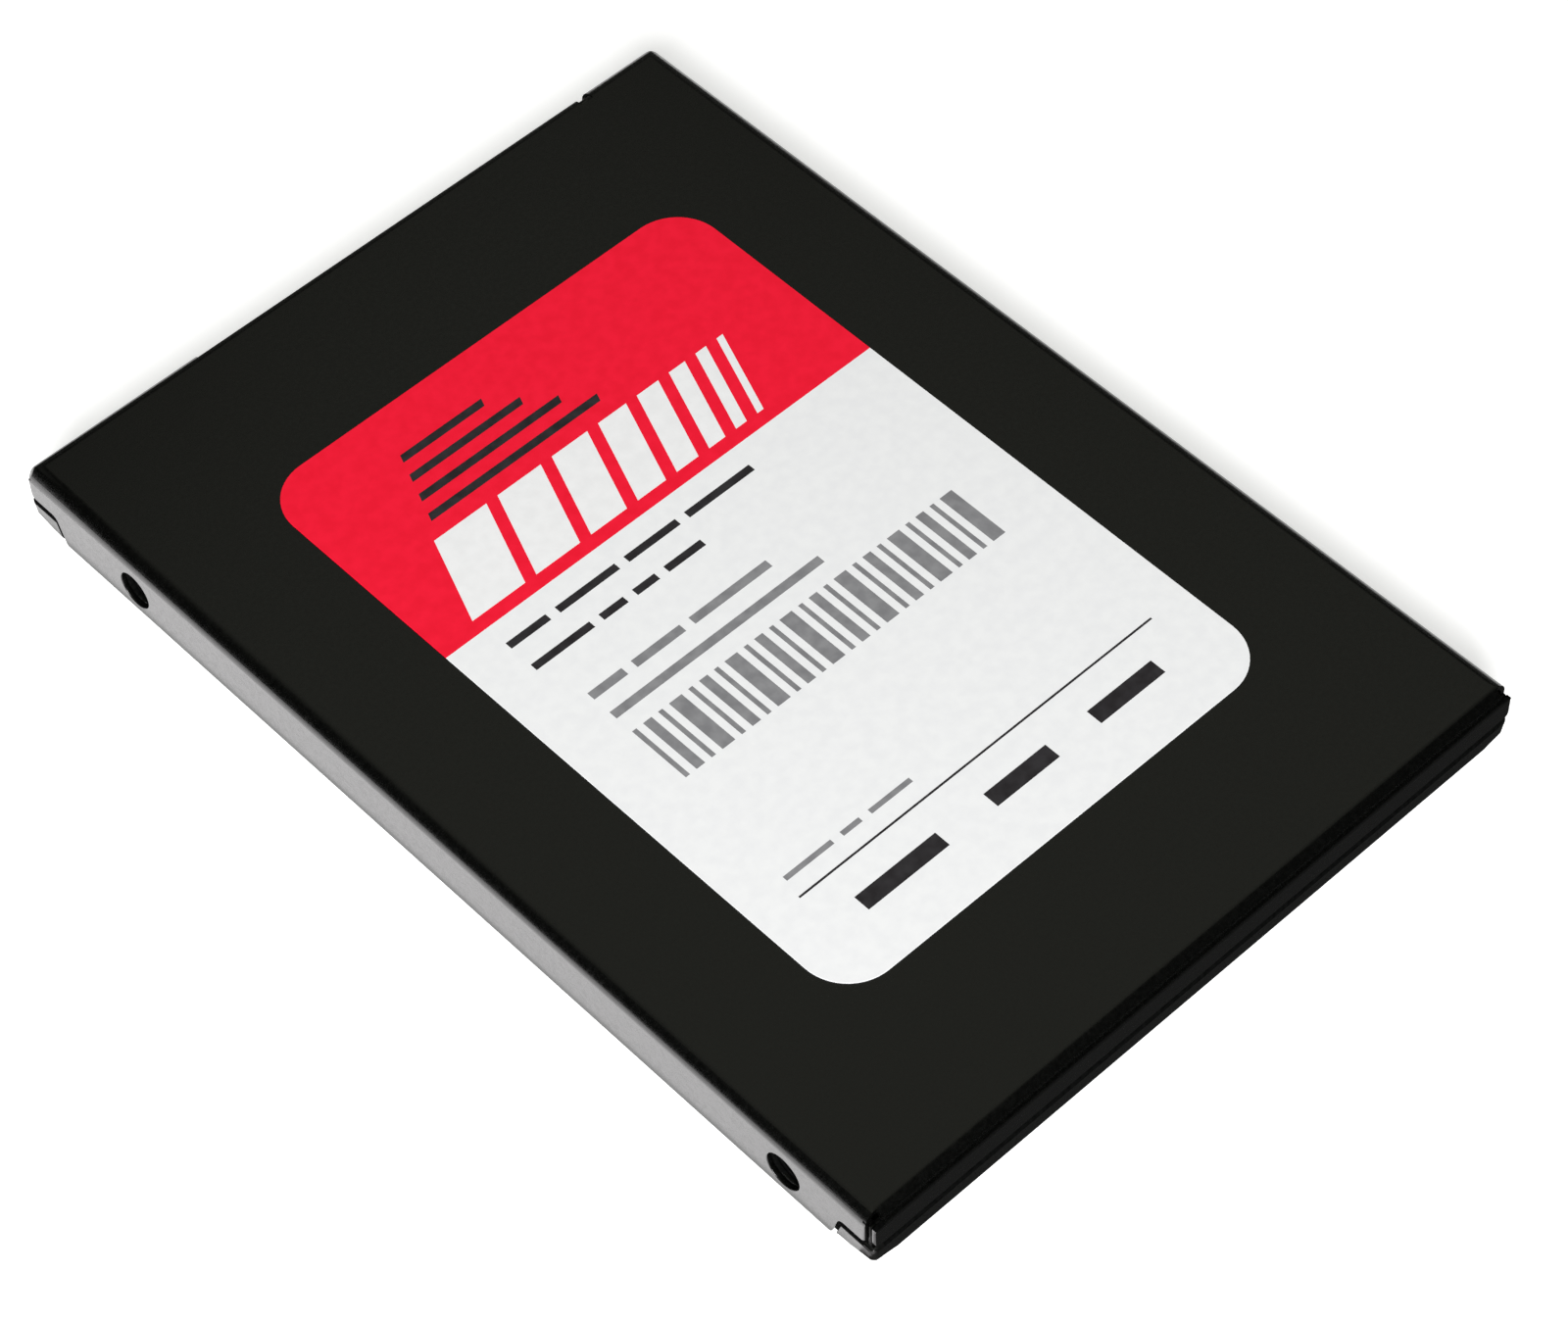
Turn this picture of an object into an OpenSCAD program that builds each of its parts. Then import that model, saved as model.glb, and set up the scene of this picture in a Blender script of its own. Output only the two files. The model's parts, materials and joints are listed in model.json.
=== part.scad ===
// Solid state drive in a folded sheet case, 2.5-inch size, 7 mm high.
// Millimetres. The origin is the middle of the underside, +Z is up.
// The label faces up and the drive plug is at the +Y end.

/* [Case] */
// Width of the case across the long sides
body_w = 69.85; // [66:0.05:90]
// Length of the case from plug end to far end
body_l = 100.2; // [98:0.1:130]
// Height of the case with its label
body_h = 7; // [6.6:0.1:12]
// Thickness of the cover's sheet
cover_t = 0.45; // [0.3:0.05:0.7]
// Outside radius of the cover's bends
cover_bend_r = 1.4; // [0.9:0.1:2]
// Thickness of the tray's sheet
base_t = 0.4; // [0.3:0.05:0.6]
// Outside radius of the tray's foot
base_bend_r = 1.4; // [0.9:0.1:1.6]
// Radius of the tray's outer corners, seen from above
base_corner_r = 0.6; // [0.5:0.1:1.5]
// Radius of the corners of the tray's upper walls
rim_corner_r = 0.3; // [0.2:0.05:1]
// Gap between the cover's flanges and the tray's
flange_gap = 0.05; // [0.03:0.01:0.2]
// Room between the tray's rim and the inside of the cover
rim_gap = 0.9; // [0.6:0.1:2]
// Distance from the outside of the case to the tray's outer walls at its ends
end_inset = 0.05; // [0.02:0.01:0.2]
// Gap between those walls and the lower edge of the flanges above them
end_seam = 0.5; // [0.3:0.05:0.8]
// Gap between those walls and the steps in the long flanges
end_gap = 0.35; // [0.2:0.05:0.8]
// Radius on the shoulder of those walls
end_shoulder_r = 0.4; // [0.2:0.05:0.6]

/* [Cover flanges] */
// Height of the lower edge along the long sides
flange_low = 0.55; // [0.3:0.05:1]
// Height of the lower edge at the ends
flange_high = 3.35; // [2.5:0.05:4.5]
// Distance from the end of the case to the foot of the step
step_inset = 4.55; // [3.5:0.05:6]
// Length of the slanted step
step_run = 0.9; // [0.4:0.05:1.5]
// Radius in the hollow of the step
step_fillet_r = 0.7; // [0.2:0.1:1]
// Radius on the foot of the step
step_foot_r = 0.4; // [0.1:0.1:0.6]
// Radius on the lower corners where a flange ends
flange_end_r = 0.5; // [0.2:0.1:0.8]
// Seam between two flanges at a far corner
far_seam = 0.45; // [0.1:0.05:0.6]
// Distance from the plug end of the case to the end of a long flange
plug_end_seam = 0.5; // [0.2:0.05:0.8]
// Gap between the two flanges at a plug-end corner
plug_corner_gap = 0.2; // [0.1:0.05:0.5]
// Distance from the side to the end of a short flange at the far end
far_end_seam = 0.25; // [0.05:0.05:0.4]
// Width of the notch that relieves a far corner
corner_notch_w = 1.2; // [0.8:0.1:1.6]
// Depth of that notch below the top of the cover
corner_notch_h = 1.25; // [0.6:0.05:1.4]
// Radius of the cover's corners at the plug end, seen from above
plug_corner_r = 1; // [0.5:0.1:1.3]
// Distance from the end of the case to the cover's edge over the plug
plate_edge = 0.7; // [0.4:0.05:1]
// Width of the relief slot at the right end of that edge
relief_w = 1.2; // [0.6:0.1:1.6]
// Distance from the end of the case to the bottom of the relief slot
relief_l = 1.5; // [1.4:0.1:2]

/* [Label] */
// Width of the label
label_w = 46.65; // [30:0.05:60]
// Length of the label
label_l = 69.1; // [40:0.1:90]
// Radius of the label's corners
label_r = 4.5; // [1:0.1:8]
// Thickness of the label
label_t = 0.1; // [0.05:0.01:0.2]
// Place of the label across the cover
label_x = 0.2; // [-3:0.05:3]
// Place of the label along the cover
label_y = -0.5; // [-3:0.05:3]

/* [Mounting holes] */
// Distance from the plug end to the first pair of holes
hole_from_end = 14; // [12:0.1:18]
// Distance between the two pairs of holes
hole_pitch = 76.6; // [60:0.1:78]
// Height of the side holes
side_hole_z = 3; // [2.8:0.1:3.6]
// Distance between the bottom holes across the case
bottom_pitch = 61.72; // [58:0.02:63]
// Diameter of a threaded hole
thread_d = 2.5; // [2:0.1:2.8]
// Depth of a bottom hole
bottom_depth = 3; // [2:0.1:4]
// Depth of the thread in a side hole
side_depth = 1.6; // [1:0.1:1.7]
// Diameter of the hole in the cover over a side hole
cover_hole_d = 3.5; // [3.2:0.1:4]
// Diameter of the hole in the tray's flange over a side hole
tray_hole_d = 3.2; // [3:0.1:3.8]
// Length of a mounting nut along the case
nut_l = 5.6; // [5:0.1:8]
// Height of the top of a mounting nut
nut_top = 5; // [4.6:0.1:5.6]
// Wall of a mounting nut around its bottom hole
nut_wall = 1.3; // [1:0.1:1.6]
// Diameter of the round foot of a mounting nut
nut_foot_d = 4.4; // [3.6:0.1:5]
// Gap around a piece that is pressed or set in place
set_gap = 0.03; // [0.02:0.01:0.06]

/* [Case screws and cover posts] */
// Distance from the sides of the case to a cover post
post_side = 4.1; // [3.8:0.1:5]
// Distance from the ends of the case to a cover post
post_end = 4; // [3.8:0.1:4.2]
// Diameter of a cover post
post_d = 3.6; // [3:0.1:3.8]
// Depth of a screw recess in the tray
recess_h = 0.9; // [0.7:0.05:1.2]
// Diameter of a screw recess in the tray
recess_d = 4.5; // [4.2:0.1:4.6]
// Diameter of a case screw
case_screw_d = 1.8; // [1.4:0.1:2]
// Length of a case screw under its head
case_screw_l = 4; // [3:0.1:4.4]
// Diameter of the head of a case screw
case_head_d = 3.8; // [3:0.1:4.2]
// Height of the head of a case screw
case_head_h = 0.65; // [0.4:0.05:0.7]
// Gap between a screw and the hole it passes through
screw_gap = 0.1; // [0.05:0.01:0.2]
// Room past the end of a case screw
screw_end_gap = 0.4; // [0.2:0.1:0.6]
// Depth of the cross in a screw head
cross_h = 0.35; // [0.2:0.05:0.5]
// Width of an arm of the cross in a screw head
cross_w = 0.5; // [0.3:0.05:0.7]
// Length of the cross in a screw head
cross_l = 2; // [1.4:0.1:2.4]

/* [Board] */
// Thickness of the circuit board
board_t = 1; // [0.8:0.1:1.2]
// Height of the board's underside over the tray floor
board_lift = 1.8; // [1.6:0.1:2.2]
// Gap between the board's long edges and the tray's flanges
board_side_gap = 1; // [0.5:0.1:2]
// Distance from the plug end of the case to the board
board_front = 6.3; // [6:0.1:7]
// Distance from the far end of the case to the board
board_rear = 6.5; // [6.2:0.1:10]
// Gap between the board and a mounting nut
nut_gap = 0.4; // [0.2:0.1:1]
// Distance from the sides of the case to the front board screws
front_screw_side = 4.6; // [4.2:0.1:5]
// Distance from the board's front edge to the front board screws
front_screw_in = 2.4; // [2.3:0.1:2.6]
// Distance from the middle of the board to the rear board screws
rear_screw_x = 24; // [16:0.5:25]
// Distance from the board's rear edge to the rear board screws
rear_screw_in = 2.6; // [2:0.1:4]
// Diameter of a board post
board_post_d = 3.4; // [3:0.1:3.8]
// Diameter of a board screw
board_screw_d = 1.6; // [1.4:0.1:1.8]
// Length of a board screw under its head
board_screw_l = 2.4; // [1.6:0.1:2.6]
// Diameter of the head of a board screw
board_head_d = 3.2; // [2.6:0.1:3.4]
// Height of the head of a board screw
board_head_h = 0.75; // [0.5:0.05:1]
// Thickness of the insulating sheet on the tray floor
film_t = 0.15; // [0.1:0.05:0.3]
// Width of the insulating sheet
film_w = 54; // [30:1:55]
// Length of the insulating sheet
film_l = 74; // [40:1:76]

/* [Drive plug] */
// Distance from the middle of the case to the middle of the plug
plug_x = 4.8; // [0:0.1:5]
// Gap between the housing and the ends of its opening
plug_gap = 0.45; // [0.3:0.05:0.6]
// Height of the middle of the tongues
tongue_z = 3.5; // [3.3:0.05:3.7]
// Thickness of a tongue
tongue_t = 1.23; // [1:0.01:1.4]
// Width of the signal tongue
signal_tongue_w = 10.41; // [9.8:0.01:10.6]
// Width of the power tongue
power_tongue_w = 20.57; // [20:0.01:20.8]
// Gap between the two tongues
tongue_gap = 2.41; // [2:0.01:2.6]
// Distance from the end of the case to the tips of the tongues
tongue_recess = 0.35; // [0.1:0.05:1]
// Distance between neighbouring contacts
contact_pitch = 1.27; // [1.2:0.01:1.28]
// Width of a contact
contact_w = 0.7; // [0.4:0.05:0.8]
// Thickness of a contact
contact_t = 0.15; // [0.1:0.01:0.2]
// Length of a solder tail behind the housing
tail_l = 1; // [0.5:0.1:1.5]
// Width of a guide wall at the end of the housing
guide_w = 2.4; // [1.8:0.1:2.6]
// Gap between a guide wall and the tongue next to it
guide_gap = 2.25; // [1.6:0.05:2.3]
// Height of the housing
plug_h = 4.1; // [3.8:0.1:4.2]
// Drop of the housing's middle below the tongues' middle
plug_drop = 0.15; // [0:0.05:0.3]
// Thickness of the wall that carries the tongues
plug_wall = 1.6; // [1.2:0.1:2]
// Gap between that wall and the board's edge
plug_board_gap = 0.2; // [0.1:0.05:0.4]
// Length of the ledge over the board
ledge_l = 2; // [1.5:0.1:2.2]
// Height of the ledge over the board
ledge_h = 1.8; // [1.2:0.1:2]
// Length of the key that hangs from each tongue
key_h = 0.9; // [0.5:0.05:1]
// Width of that key
key_w = 0.6; // [0.4:0.05:0.7]
// Distance from the tip of a tongue to the tips of its contacts
contact_setback = 0.5; // [0.3:0.05:1]
// Width of a board tab beside the housing
tab_w = 1.6; // [1:0.1:2]
// Length of a board tab along the housing's end
tab_l = 1.6; // [1:0.1:1.8]
// Height of a board tab
tab_h = 1.2; // [0.6:0.1:1.4]
// Thickness of a board tab
tab_t = 0.2; // [0.1:0.05:0.3]

/* [Chips and parts] */
// Width of the controller chip
controller_w = 14; // [10:0.5:17]
// Height of the controller chip
controller_h = 1.2; // [0.8:0.1:1.6]
// Width of a flash memory chip's body
memory_w = 18.4; // [14:0.1:19]
// Length of a flash memory chip's body
memory_l = 12; // [10:0.1:14]
// Height of a flash memory chip
memory_h = 1.1; // [0.8:0.05:1.2]
// Distance between flash memory chips across the board
memory_pitch_x = 23; // [21:0.5:26]
// Distance between flash memory chips along the board
memory_pitch_y = 15.5; // [14.5:0.5:18]
// Height of an inductor
inductor_h = 1.8; // [1:0.1:2.4]
// Height of a bulk capacitor
bulk_h = 1.9; // [1.2:0.1:2.4]

/* [Hidden] */
$fn = 48;
past = 2;
tiny_r = 0.05;
corner_past = 0.05;
// Steps around the turned foot of a tray corner, and the angle they reach
foot_steps = 6;
foot_last = 75;

// Heights, from the floor of the tray up to the label
floor_z = base_t;
board_z = floor_z + board_lift;
board_top = board_z + board_t;
cover_top = body_h - label_t;
cover_inner = cover_top - cover_t;
rim_z = cover_inner - rim_gap;
post_foot_z = recess_h + base_t;
end_wall_h = flange_high - end_seam;

// The tray sits inside the cover's flanges
base_inset = cover_t + flange_gap;
base_w = body_w - 2 * base_inset;
base_l = body_l - 2 * base_inset;
tray_inner_w = base_w - 2 * base_t;

// Stations along and across the case
end_y = body_l / 2;
side_x = body_w / 2;
hole_ys = [end_y - hole_from_end, end_y - hole_from_end - hole_pitch];
nut_outer_x = tray_inner_w / 2 - set_gap;
nut_inner_x = bottom_pitch / 2 - thread_d / 2 - nut_wall;
post_x = side_x - post_side;
post_y = end_y - post_end;
board_y1 = end_y - board_front;
board_y0 = -end_y + board_rear;
board_half_w = tray_inner_w / 2 - board_side_gap;
front_screw_x = side_x - front_screw_side;
board_screws_at = [
    [-front_screw_x, board_y1 - front_screw_in],
    [front_screw_x, board_y1 - front_screw_in],
    [-rear_screw_x, board_y0 + rear_screw_in],
    [rear_screw_x, board_y0 + rear_screw_in]
];

// Stations of the plug
tongues_w = signal_tongue_w + tongue_gap + power_tongue_w;
plug_w = tongues_w + 2 * (guide_gap + guide_w);
opening_w = plug_w + 2 * plug_gap;
plug_back = board_y1 + plug_board_gap;
plug_low = tongue_z - plug_drop - plug_h / 2;
plug_face = plug_back + plug_wall;
tongue_tip = end_y - tongue_recess;
signal_x = plug_x - tongues_w / 2 + signal_tongue_w / 2;
power_x = plug_x + tongues_w / 2 - power_tongue_w / 2;
signal_count = 7;
power_count = 15;
blade_top = tongue_z - tongue_t / 2;
blade_tip = tongue_tip - contact_setback;
tail_end = plug_back - ledge_l - tail_l;

// Layout of the board, measured from its middle line and its front edge
controller_at = [3, board_y1 - 19];
cache_at = [-13.5, board_y1 - 18.5];
cache_size = [9, 12, 1];
boot_at = [-22.5, board_y1 - 10];
boot_size = [5.2, 5.2, 1.6];
crystal_at = [3, board_y1 - 9];
crystal_size = [3.2, 2.5, 0.8];
inductor_at = [21, board_y1 - 14];
inductor_w = 4.2;
inductor_pitch = 6;
inductor_r = 0.7;
regulator_at = [15.5, board_y1 - 15];
regulator_size = [3, 3, 0.8];
bulk_at = [11, board_y1 - 7.5];
bulk_size = [3.5, 2.8, bulk_h];
bulk_pitch = 4.4;
memory_y = board_y1 - 41.5;
under_memory_y = board_y1 - 26;
capacitor_size = [0.8, 1.6, 0.8];
resistor_size = [0.5, 1, 0.35];
pad_margin = 1;
pad_r = 0.6;
film_r = 2;
board_r = 0.8;

// Rows of small parts on the board: first place, step and count
capacitor_rows = [
    [[-19, memory_y + memory_pitch_y / 2], [4.2, 0], 10],
    [[-19, memory_y - memory_pitch_y / 2], [4.2, 0], 10],
    [controller_at - [controller_w / 2 + 1.2, 5.2], [0, 2.6], 5],
    [controller_at + [controller_w / 2 + 1.2, -5.2], [0, 2.6], 5],
    [[-14, board_y1 - 6], [1.5, 0], 8]
];
resistor_rows = [
    [[-14, board_y1 - 8.6], [1.1, 0], 12],
    [cache_at - [4.2, 7.6], [1.2, 0], 8],
    [[-11, memory_y - 1.5 * memory_pitch_y], [2, 0], 12]
];
// Rows of small parts under the board
under_capacitor_rows = [[[-3, board_y1 - 11], [2, 0], 7]];
under_resistor_rows = [[[-20, board_y1 - 11], [1.6, 0], 8]];

function unit(v) = v / norm(v);

// Piece between a corner and the round that replaces it, drawn a little past the corner's sides;
// a and b are the corner's neighbours
module corner_piece(corner, a, b, r) {
    u = unit(a - corner);
    v = unit(b - corner);
    half = acos(u * v) / 2;
    reach = r / tan(half);
    centre = corner + unit(u + v) * r / sin(half);
    grow = 1 + corner_past / r;
    difference() {
        polygon([
            for (p = [corner, corner + u * reach, centre, corner + v * reach]) centre + (p - centre) * grow
        ]);
        translate(centre) circle(r);
    }
}

// Rectangle with round corners, about its middle
module round_rect(w, l, r) {
    square([w - 2 * r, l], center = true);
    square([w, l - 2 * r], center = true);
    for (sx = [-1, 1], sy = [-1, 1])
        translate([sx * (w / 2 - r), sy * (l / 2 - r)]) circle(r);
}

// Section with round upper corners, from lo to hi
module round_top(w, lo, hi, r) {
    translate([-w / 2, lo]) square([w, hi - r - lo]);
    translate([-w / 2 + r, lo]) square([w - 2 * r, hi - lo]);
    for (s = [-1, 1]) translate([s * (w / 2 - r), hi - r]) circle(r);
}

// Section with round lower corners, from lo to hi
module round_foot(w, lo, hi, r) {
    translate([0, lo + hi]) mirror([0, 1]) round_top(w, lo, hi, r);
}

// Section with a round foot and round shoulders, from lo to hi
module round_wall(w, lo, hi, foot_r, shoulder_r) {
    intersection() {
        round_foot(w, lo, hi + past, foot_r);
        round_top(w, lo - past, hi, shoulder_r);
    }
}

// A section in X and Z, drawn out along Y
module along_y(l) {
    rotate([90, 0, 0]) linear_extrude(l, center = true) children();
}

// A section in Y and Z, drawn out along X
module along_x(w) {
    rotate([90, 0, 90]) linear_extrude(w, center = true) children();
}

// A copy at each of the four corners of a rectangle
module at_corners(x, y) {
    for (sx = [-1, 1], sy = [-1, 1]) translate([sx * x, sy * y, 0]) children();
}

// A block on the board's top, about its place
module on_board(at, size) {
    translate([at.x - size.x / 2, at.y - size.y / 2, board_top]) cube(size);
}

// A block that hangs under the board
module under_board(at, size) {
    translate([at.x - size.x / 2, at.y - size.y / 2, board_z - size.z]) cube(size);
}

// Cross cut into a screw head, from z = 0 up
module cross() {
    for (a = [0, 90]) rotate(a)
        translate([-cross_l / 2, -cross_w / 2, 0]) cube([cross_l, cross_w, cross_h]);
}

// Body of the cover as a solid block, taken in by inset
module cover_block(inset) {
    w = body_w - 2 * inset;
    l = body_l - 2 * inset;
    lo = inset > 0 ? -past : 0;
    r = max(cover_bend_r - inset, tiny_r);
    intersection() {
        along_y(l) round_top(w, lo, cover_top - inset, r);
        along_x(w) round_top(l, lo, cover_top - inset, r);
    }
}

// What is cut from under the flanges: low along the sides, high at the ends
module flange_undercut() {
    foot = end_y - step_inset;
    top = foot + step_run;
    out = end_y + past;
    union() {
        difference() {
            polygon([
                [-out, -past], [out, -past], [out, flange_high], [top, flange_high], [foot, flange_low],
                [-foot, flange_low], [-top, flange_high], [-out, flange_high]
            ]);
            for (s = [-1, 1]) corner_piece(
                [s * top, flange_high], [s * out, flange_high], [s * foot, flange_low], step_fillet_r);
        }
        for (s = [-1, 1]) corner_piece(
            [s * foot, flange_low], [s * top, flange_high], [0, flange_low], step_foot_r);
    }
}

// Rounds the lower corner at the end of a flange, in the flange's own plane
module flange_end_round(sx) {
    corner_piece([0, flange_high], [0, flange_high + 1], [-sx, flange_high], flange_end_r);
}

module top_cover() {
    far_end = end_y - cover_t - far_seam;
    plug_end = end_y - plug_end_seam;
    far_w = side_x - far_end_seam;
    short_end = side_x - cover_t - plug_corner_gap;
    notch_z = cover_top - corner_notch_h;
    color("#232421") difference() {
        cover_block(0);
        cover_block(cover_t);
        along_x(body_w + past) flange_undercut();
        // opening for the plug, with a relief slot at its right end
        translate([plug_x - opening_w / 2, end_y - plate_edge, -past])
            cube([opening_w, past, body_h + 2 * past]);
        translate([plug_x + (opening_w - relief_w) / 2, end_y, body_h / 2])
            cube([relief_w, 2 * relief_l, body_h + past], center = true);
        for (s = [-1, 1]) {
            // seam at a far corner: the short flange passes the end of the long one
            translate([s * side_x - past / 2, -end_y + cover_t, -past])
                cube([past, far_seam, notch_z + past]);
            translate([s < 0 ? -side_x - past : far_w, -end_y - past, -past])
                cube([s < 0 ? past + far_end_seam : past, past + cover_t + far_seam, notch_z + past]);
            translate([s < 0 ? -side_x - past : side_x - corner_notch_w, -end_y - past, notch_z])
                cube([past + corner_notch_w, past + cover_t + far_seam, past + corner_notch_h]);
            // round, open corner at the plug end
            translate([0, 0, notch_z]) linear_extrude(corner_notch_h + past)
                corner_piece([s * side_x, end_y], [s * side_x, 0], [0, end_y], plug_corner_r);
            translate([s < 0 ? -side_x - past : short_end, plug_end, -past])
                cube([past + side_x - short_end, past, notch_z + past]);
            // rounded lower corners of the long flanges
            translate([s * side_x, -far_end, 0]) along_x(past) flange_end_round(-1);
            translate([s * side_x, plug_end, 0]) along_x(past) flange_end_round(1);
            // rounded lower corners of the short flanges
            translate([s * far_w, -end_y, 0]) along_y(2 * cover_t + far_seam) flange_end_round(s);
            translate([s * short_end, end_y, 0]) along_y(past) flange_end_round(s);
            for (y = hole_ys) translate([s * side_x, y, side_hole_z]) rotate([0, 90, 0])
                cylinder(d = cover_hole_d, h = past, center = true);
        }
    }
}

// Block between the tray's upper walls, taken in by inset
module tray_block(inset) {
    hi = rim_z + (inset > 0 ? past : 0);
    translate([0, 0, inset]) linear_extrude(hi - inset)
        round_rect(base_w - 2 * inset, base_l - 2 * inset, max(rim_corner_r - inset, tiny_r));
}

// What is cut from under a corner of the tray so that its foot turns about it
module foot_corner_cut() {
    r = base_corner_r;
    start = asin(max(base_bend_r - r + tiny_r, 0) / base_bend_r);
    turns = [for (i = [0 : foot_steps]) start + i / foot_steps * (foot_last - start)];
    difference() {
        translate([0, 0, -past]) cube([r + past, r + past, past + base_bend_r * (1 - cos(foot_last))]);
        rotate_extrude() polygon([
            [0, base_bend_r * (1 - cos(start))],
            for (a = turns) [r - base_bend_r * (1 - sin(a)), base_bend_r * (1 - cos(a))],
            [r, base_bend_r + past], [0, base_bend_r + past]
        ]);
    }
}

// Block inside the tray's outer walls, round at its foot and shoulders, taken in by inset
module foot_block(hi, shoulder_r, inset) {
    w = body_w - 2 * (end_inset + inset);
    l = body_l - 2 * (end_inset + inset);
    foot_r = base_bend_r - inset;
    intersection() {
        along_y(l) round_wall(w, inset, hi, foot_r, shoulder_r);
        along_x(w) round_wall(l, inset, hi, foot_r, shoulder_r);
        linear_extrude(hi + past) round_rect(w, l, max(base_corner_r - inset, tiny_r));
    }
}

// The tray's two ends as solid blocks, clear of the steps in the flanges, taken in by inset
module end_walls(inset) {
    slope = step_run / (flange_high - flange_low);
    hi = end_wall_h - inset;
    foot = end_y - step_inset - slope * flange_low + end_gap + inset;
    out = end_y + past;
    intersection() {
        foot_block(hi, max(end_shoulder_r - inset, tiny_r), inset);
        along_x(body_w + past) for (s = [-1, 1]) difference() {
            polygon([
                [s * (foot - slope * past), -past], [s * out, -past],
                [s * out, hi + corner_past], [s * (foot + slope * (hi + corner_past)), hi + corner_past]
            ]);
            corner_piece(
                [s * (foot + slope * hi), hi], [s * foot, 0], [s * out, hi], end_shoulder_r);
        }
    }
}

module base_tray() {
    color("#2a2b28") difference() {
        union() {
            difference() {
                union() {
                    intersection() {
                        tray_block(0);
                        foot_block(rim_z + past, tiny_r, 0);
                    }
                    end_walls(0);
                }
                tray_block(base_t);
                end_walls(base_t);
                for (sx = [0, 1], sy = [0, 1]) mirror([sx, 0, 0]) mirror([0, sy, 0])
                    translate([side_x - end_inset - base_corner_r, end_y - end_inset - base_corner_r, 0])
                        foot_corner_cut();
            }
            // raised pads over the screw recesses
            at_corners(post_x, post_y) cylinder(d = recess_d + 2 * base_t, h = post_foot_z);
        }
        at_corners(post_x, post_y) {
            translate([0, 0, -past]) cylinder(d = recess_d, h = past + recess_h);
            cylinder(d = case_screw_d + 2 * screw_gap, h = post_foot_z + past);
        }
        // opening for the plug, through the end wall and the lip of the floor
        translate([plug_x - opening_w / 2, end_y - base_inset - base_t - past, floor_z])
            cube([opening_w, base_t + 2 * past, body_h]);
        translate([plug_x - opening_w / 2, end_y - base_inset - base_t, -past])
            cube([opening_w, base_inset + base_t + past, body_h]);
        for (y = hole_ys, s = [-1, 1]) {
            translate([s * bottom_pitch / 2, y, -past])
                cylinder(d = nut_foot_d + 2 * set_gap, h = 2 * past);
            translate([s * base_w / 2, y, side_hole_z]) rotate([0, 90, 0])
                cylinder(d = tray_hole_d, h = past, center = true);
        }
    }
}

module top_label() {
    color("#e9e9eb") translate([label_x, label_y, cover_top])
        linear_extrude(label_t) round_rect(label_w, label_l, label_r);
}

// Nut on the +X side: a thread up from the bottom and a thread in from the side
module mounting_nut() {
    difference() {
        union() {
            translate([nut_inner_x, -nut_l / 2, floor_z])
                cube([nut_outer_x - nut_inner_x, nut_l, nut_top - floor_z]);
            translate([bottom_pitch / 2, 0, 0]) cylinder(d = nut_foot_d, h = nut_top / 2);
        }
        translate([bottom_pitch / 2, 0, -past]) cylinder(d = thread_d, h = past + bottom_depth);
        translate([nut_outer_x - side_depth, 0, side_hole_z]) rotate([0, 90, 0])
            cylinder(d = thread_d, h = past + side_depth);
    }
}

module mounting_nuts() {
    color("#b9bbbd") for (y = hole_ys, s = [0, 1])
        translate([0, y, 0]) mirror([s, 0, 0]) mounting_nut();
}

module cover_posts() {
    color("#c6c8ca") at_corners(post_x, post_y) difference() {
        translate([0, 0, post_foot_z]) cylinder(d = post_d, h = cover_inner - post_foot_z);
        cylinder(d = case_screw_d + 2 * screw_gap, h = recess_h + case_screw_l + screw_end_gap);
    }
}

module case_screws() {
    color("#3a3b3c") at_corners(post_x, post_y) difference() {
        union() {
            translate([0, 0, recess_h - case_head_h]) cylinder(d = case_head_d, h = case_head_h);
            translate([0, 0, recess_h - case_head_h / 2])
                cylinder(d = case_screw_d, h = case_screw_l + case_head_h / 2);
        }
        translate([0, 0, recess_h - case_head_h]) cross();
    }
}

module board_posts() {
    color("#c9a862") for (p = board_screws_at) translate([p.x, p.y, floor_z]) difference() {
        cylinder(d = board_post_d, h = board_lift);
        translate([0, 0, base_t / 2]) cylinder(d = board_screw_d + 2 * set_gap, h = board_lift);
    }
}

module board_screws() {
    color("#d0d2d4") for (p = board_screws_at) translate([p.x, p.y, board_top]) difference() {
        union() {
            cylinder(d = board_head_d, h = board_head_h);
            translate([0, 0, -board_screw_l])
                cylinder(d = board_screw_d, h = board_screw_l + board_head_h / 2);
        }
        translate([0, 0, board_head_h]) mirror([0, 0, 1]) cross();
    }
}

module insulating_sheet() {
    middle_y = (board_y1 + board_y0) / 2;
    color("#d8c9a0") translate([0, middle_y, floor_z])
        linear_extrude(film_t) round_rect(film_w, film_l, film_r);
}

module main_board() {
    notch_l = nut_l + 2 * nut_gap;
    notch_x = nut_inner_x - nut_gap;
    color("#1d5a3c") translate([0, 0, board_z]) difference() {
        linear_extrude(board_t) difference() {
            translate([0, (board_y0 + board_y1) / 2])
                round_rect(2 * board_half_w, board_y1 - board_y0, board_r);
            // notches around the mounting nuts, open to the long edges
            for (s = [-1, 1], y = hole_ys) translate([s * (notch_x + side_x) / 2, y])
                square([side_x - notch_x, notch_l], center = true);
        }
        for (p = board_screws_at) translate([p.x, p.y, -past])
            cylinder(d = board_screw_d + 2 * screw_gap, h = board_t + 2 * past);
    }
}

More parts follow.
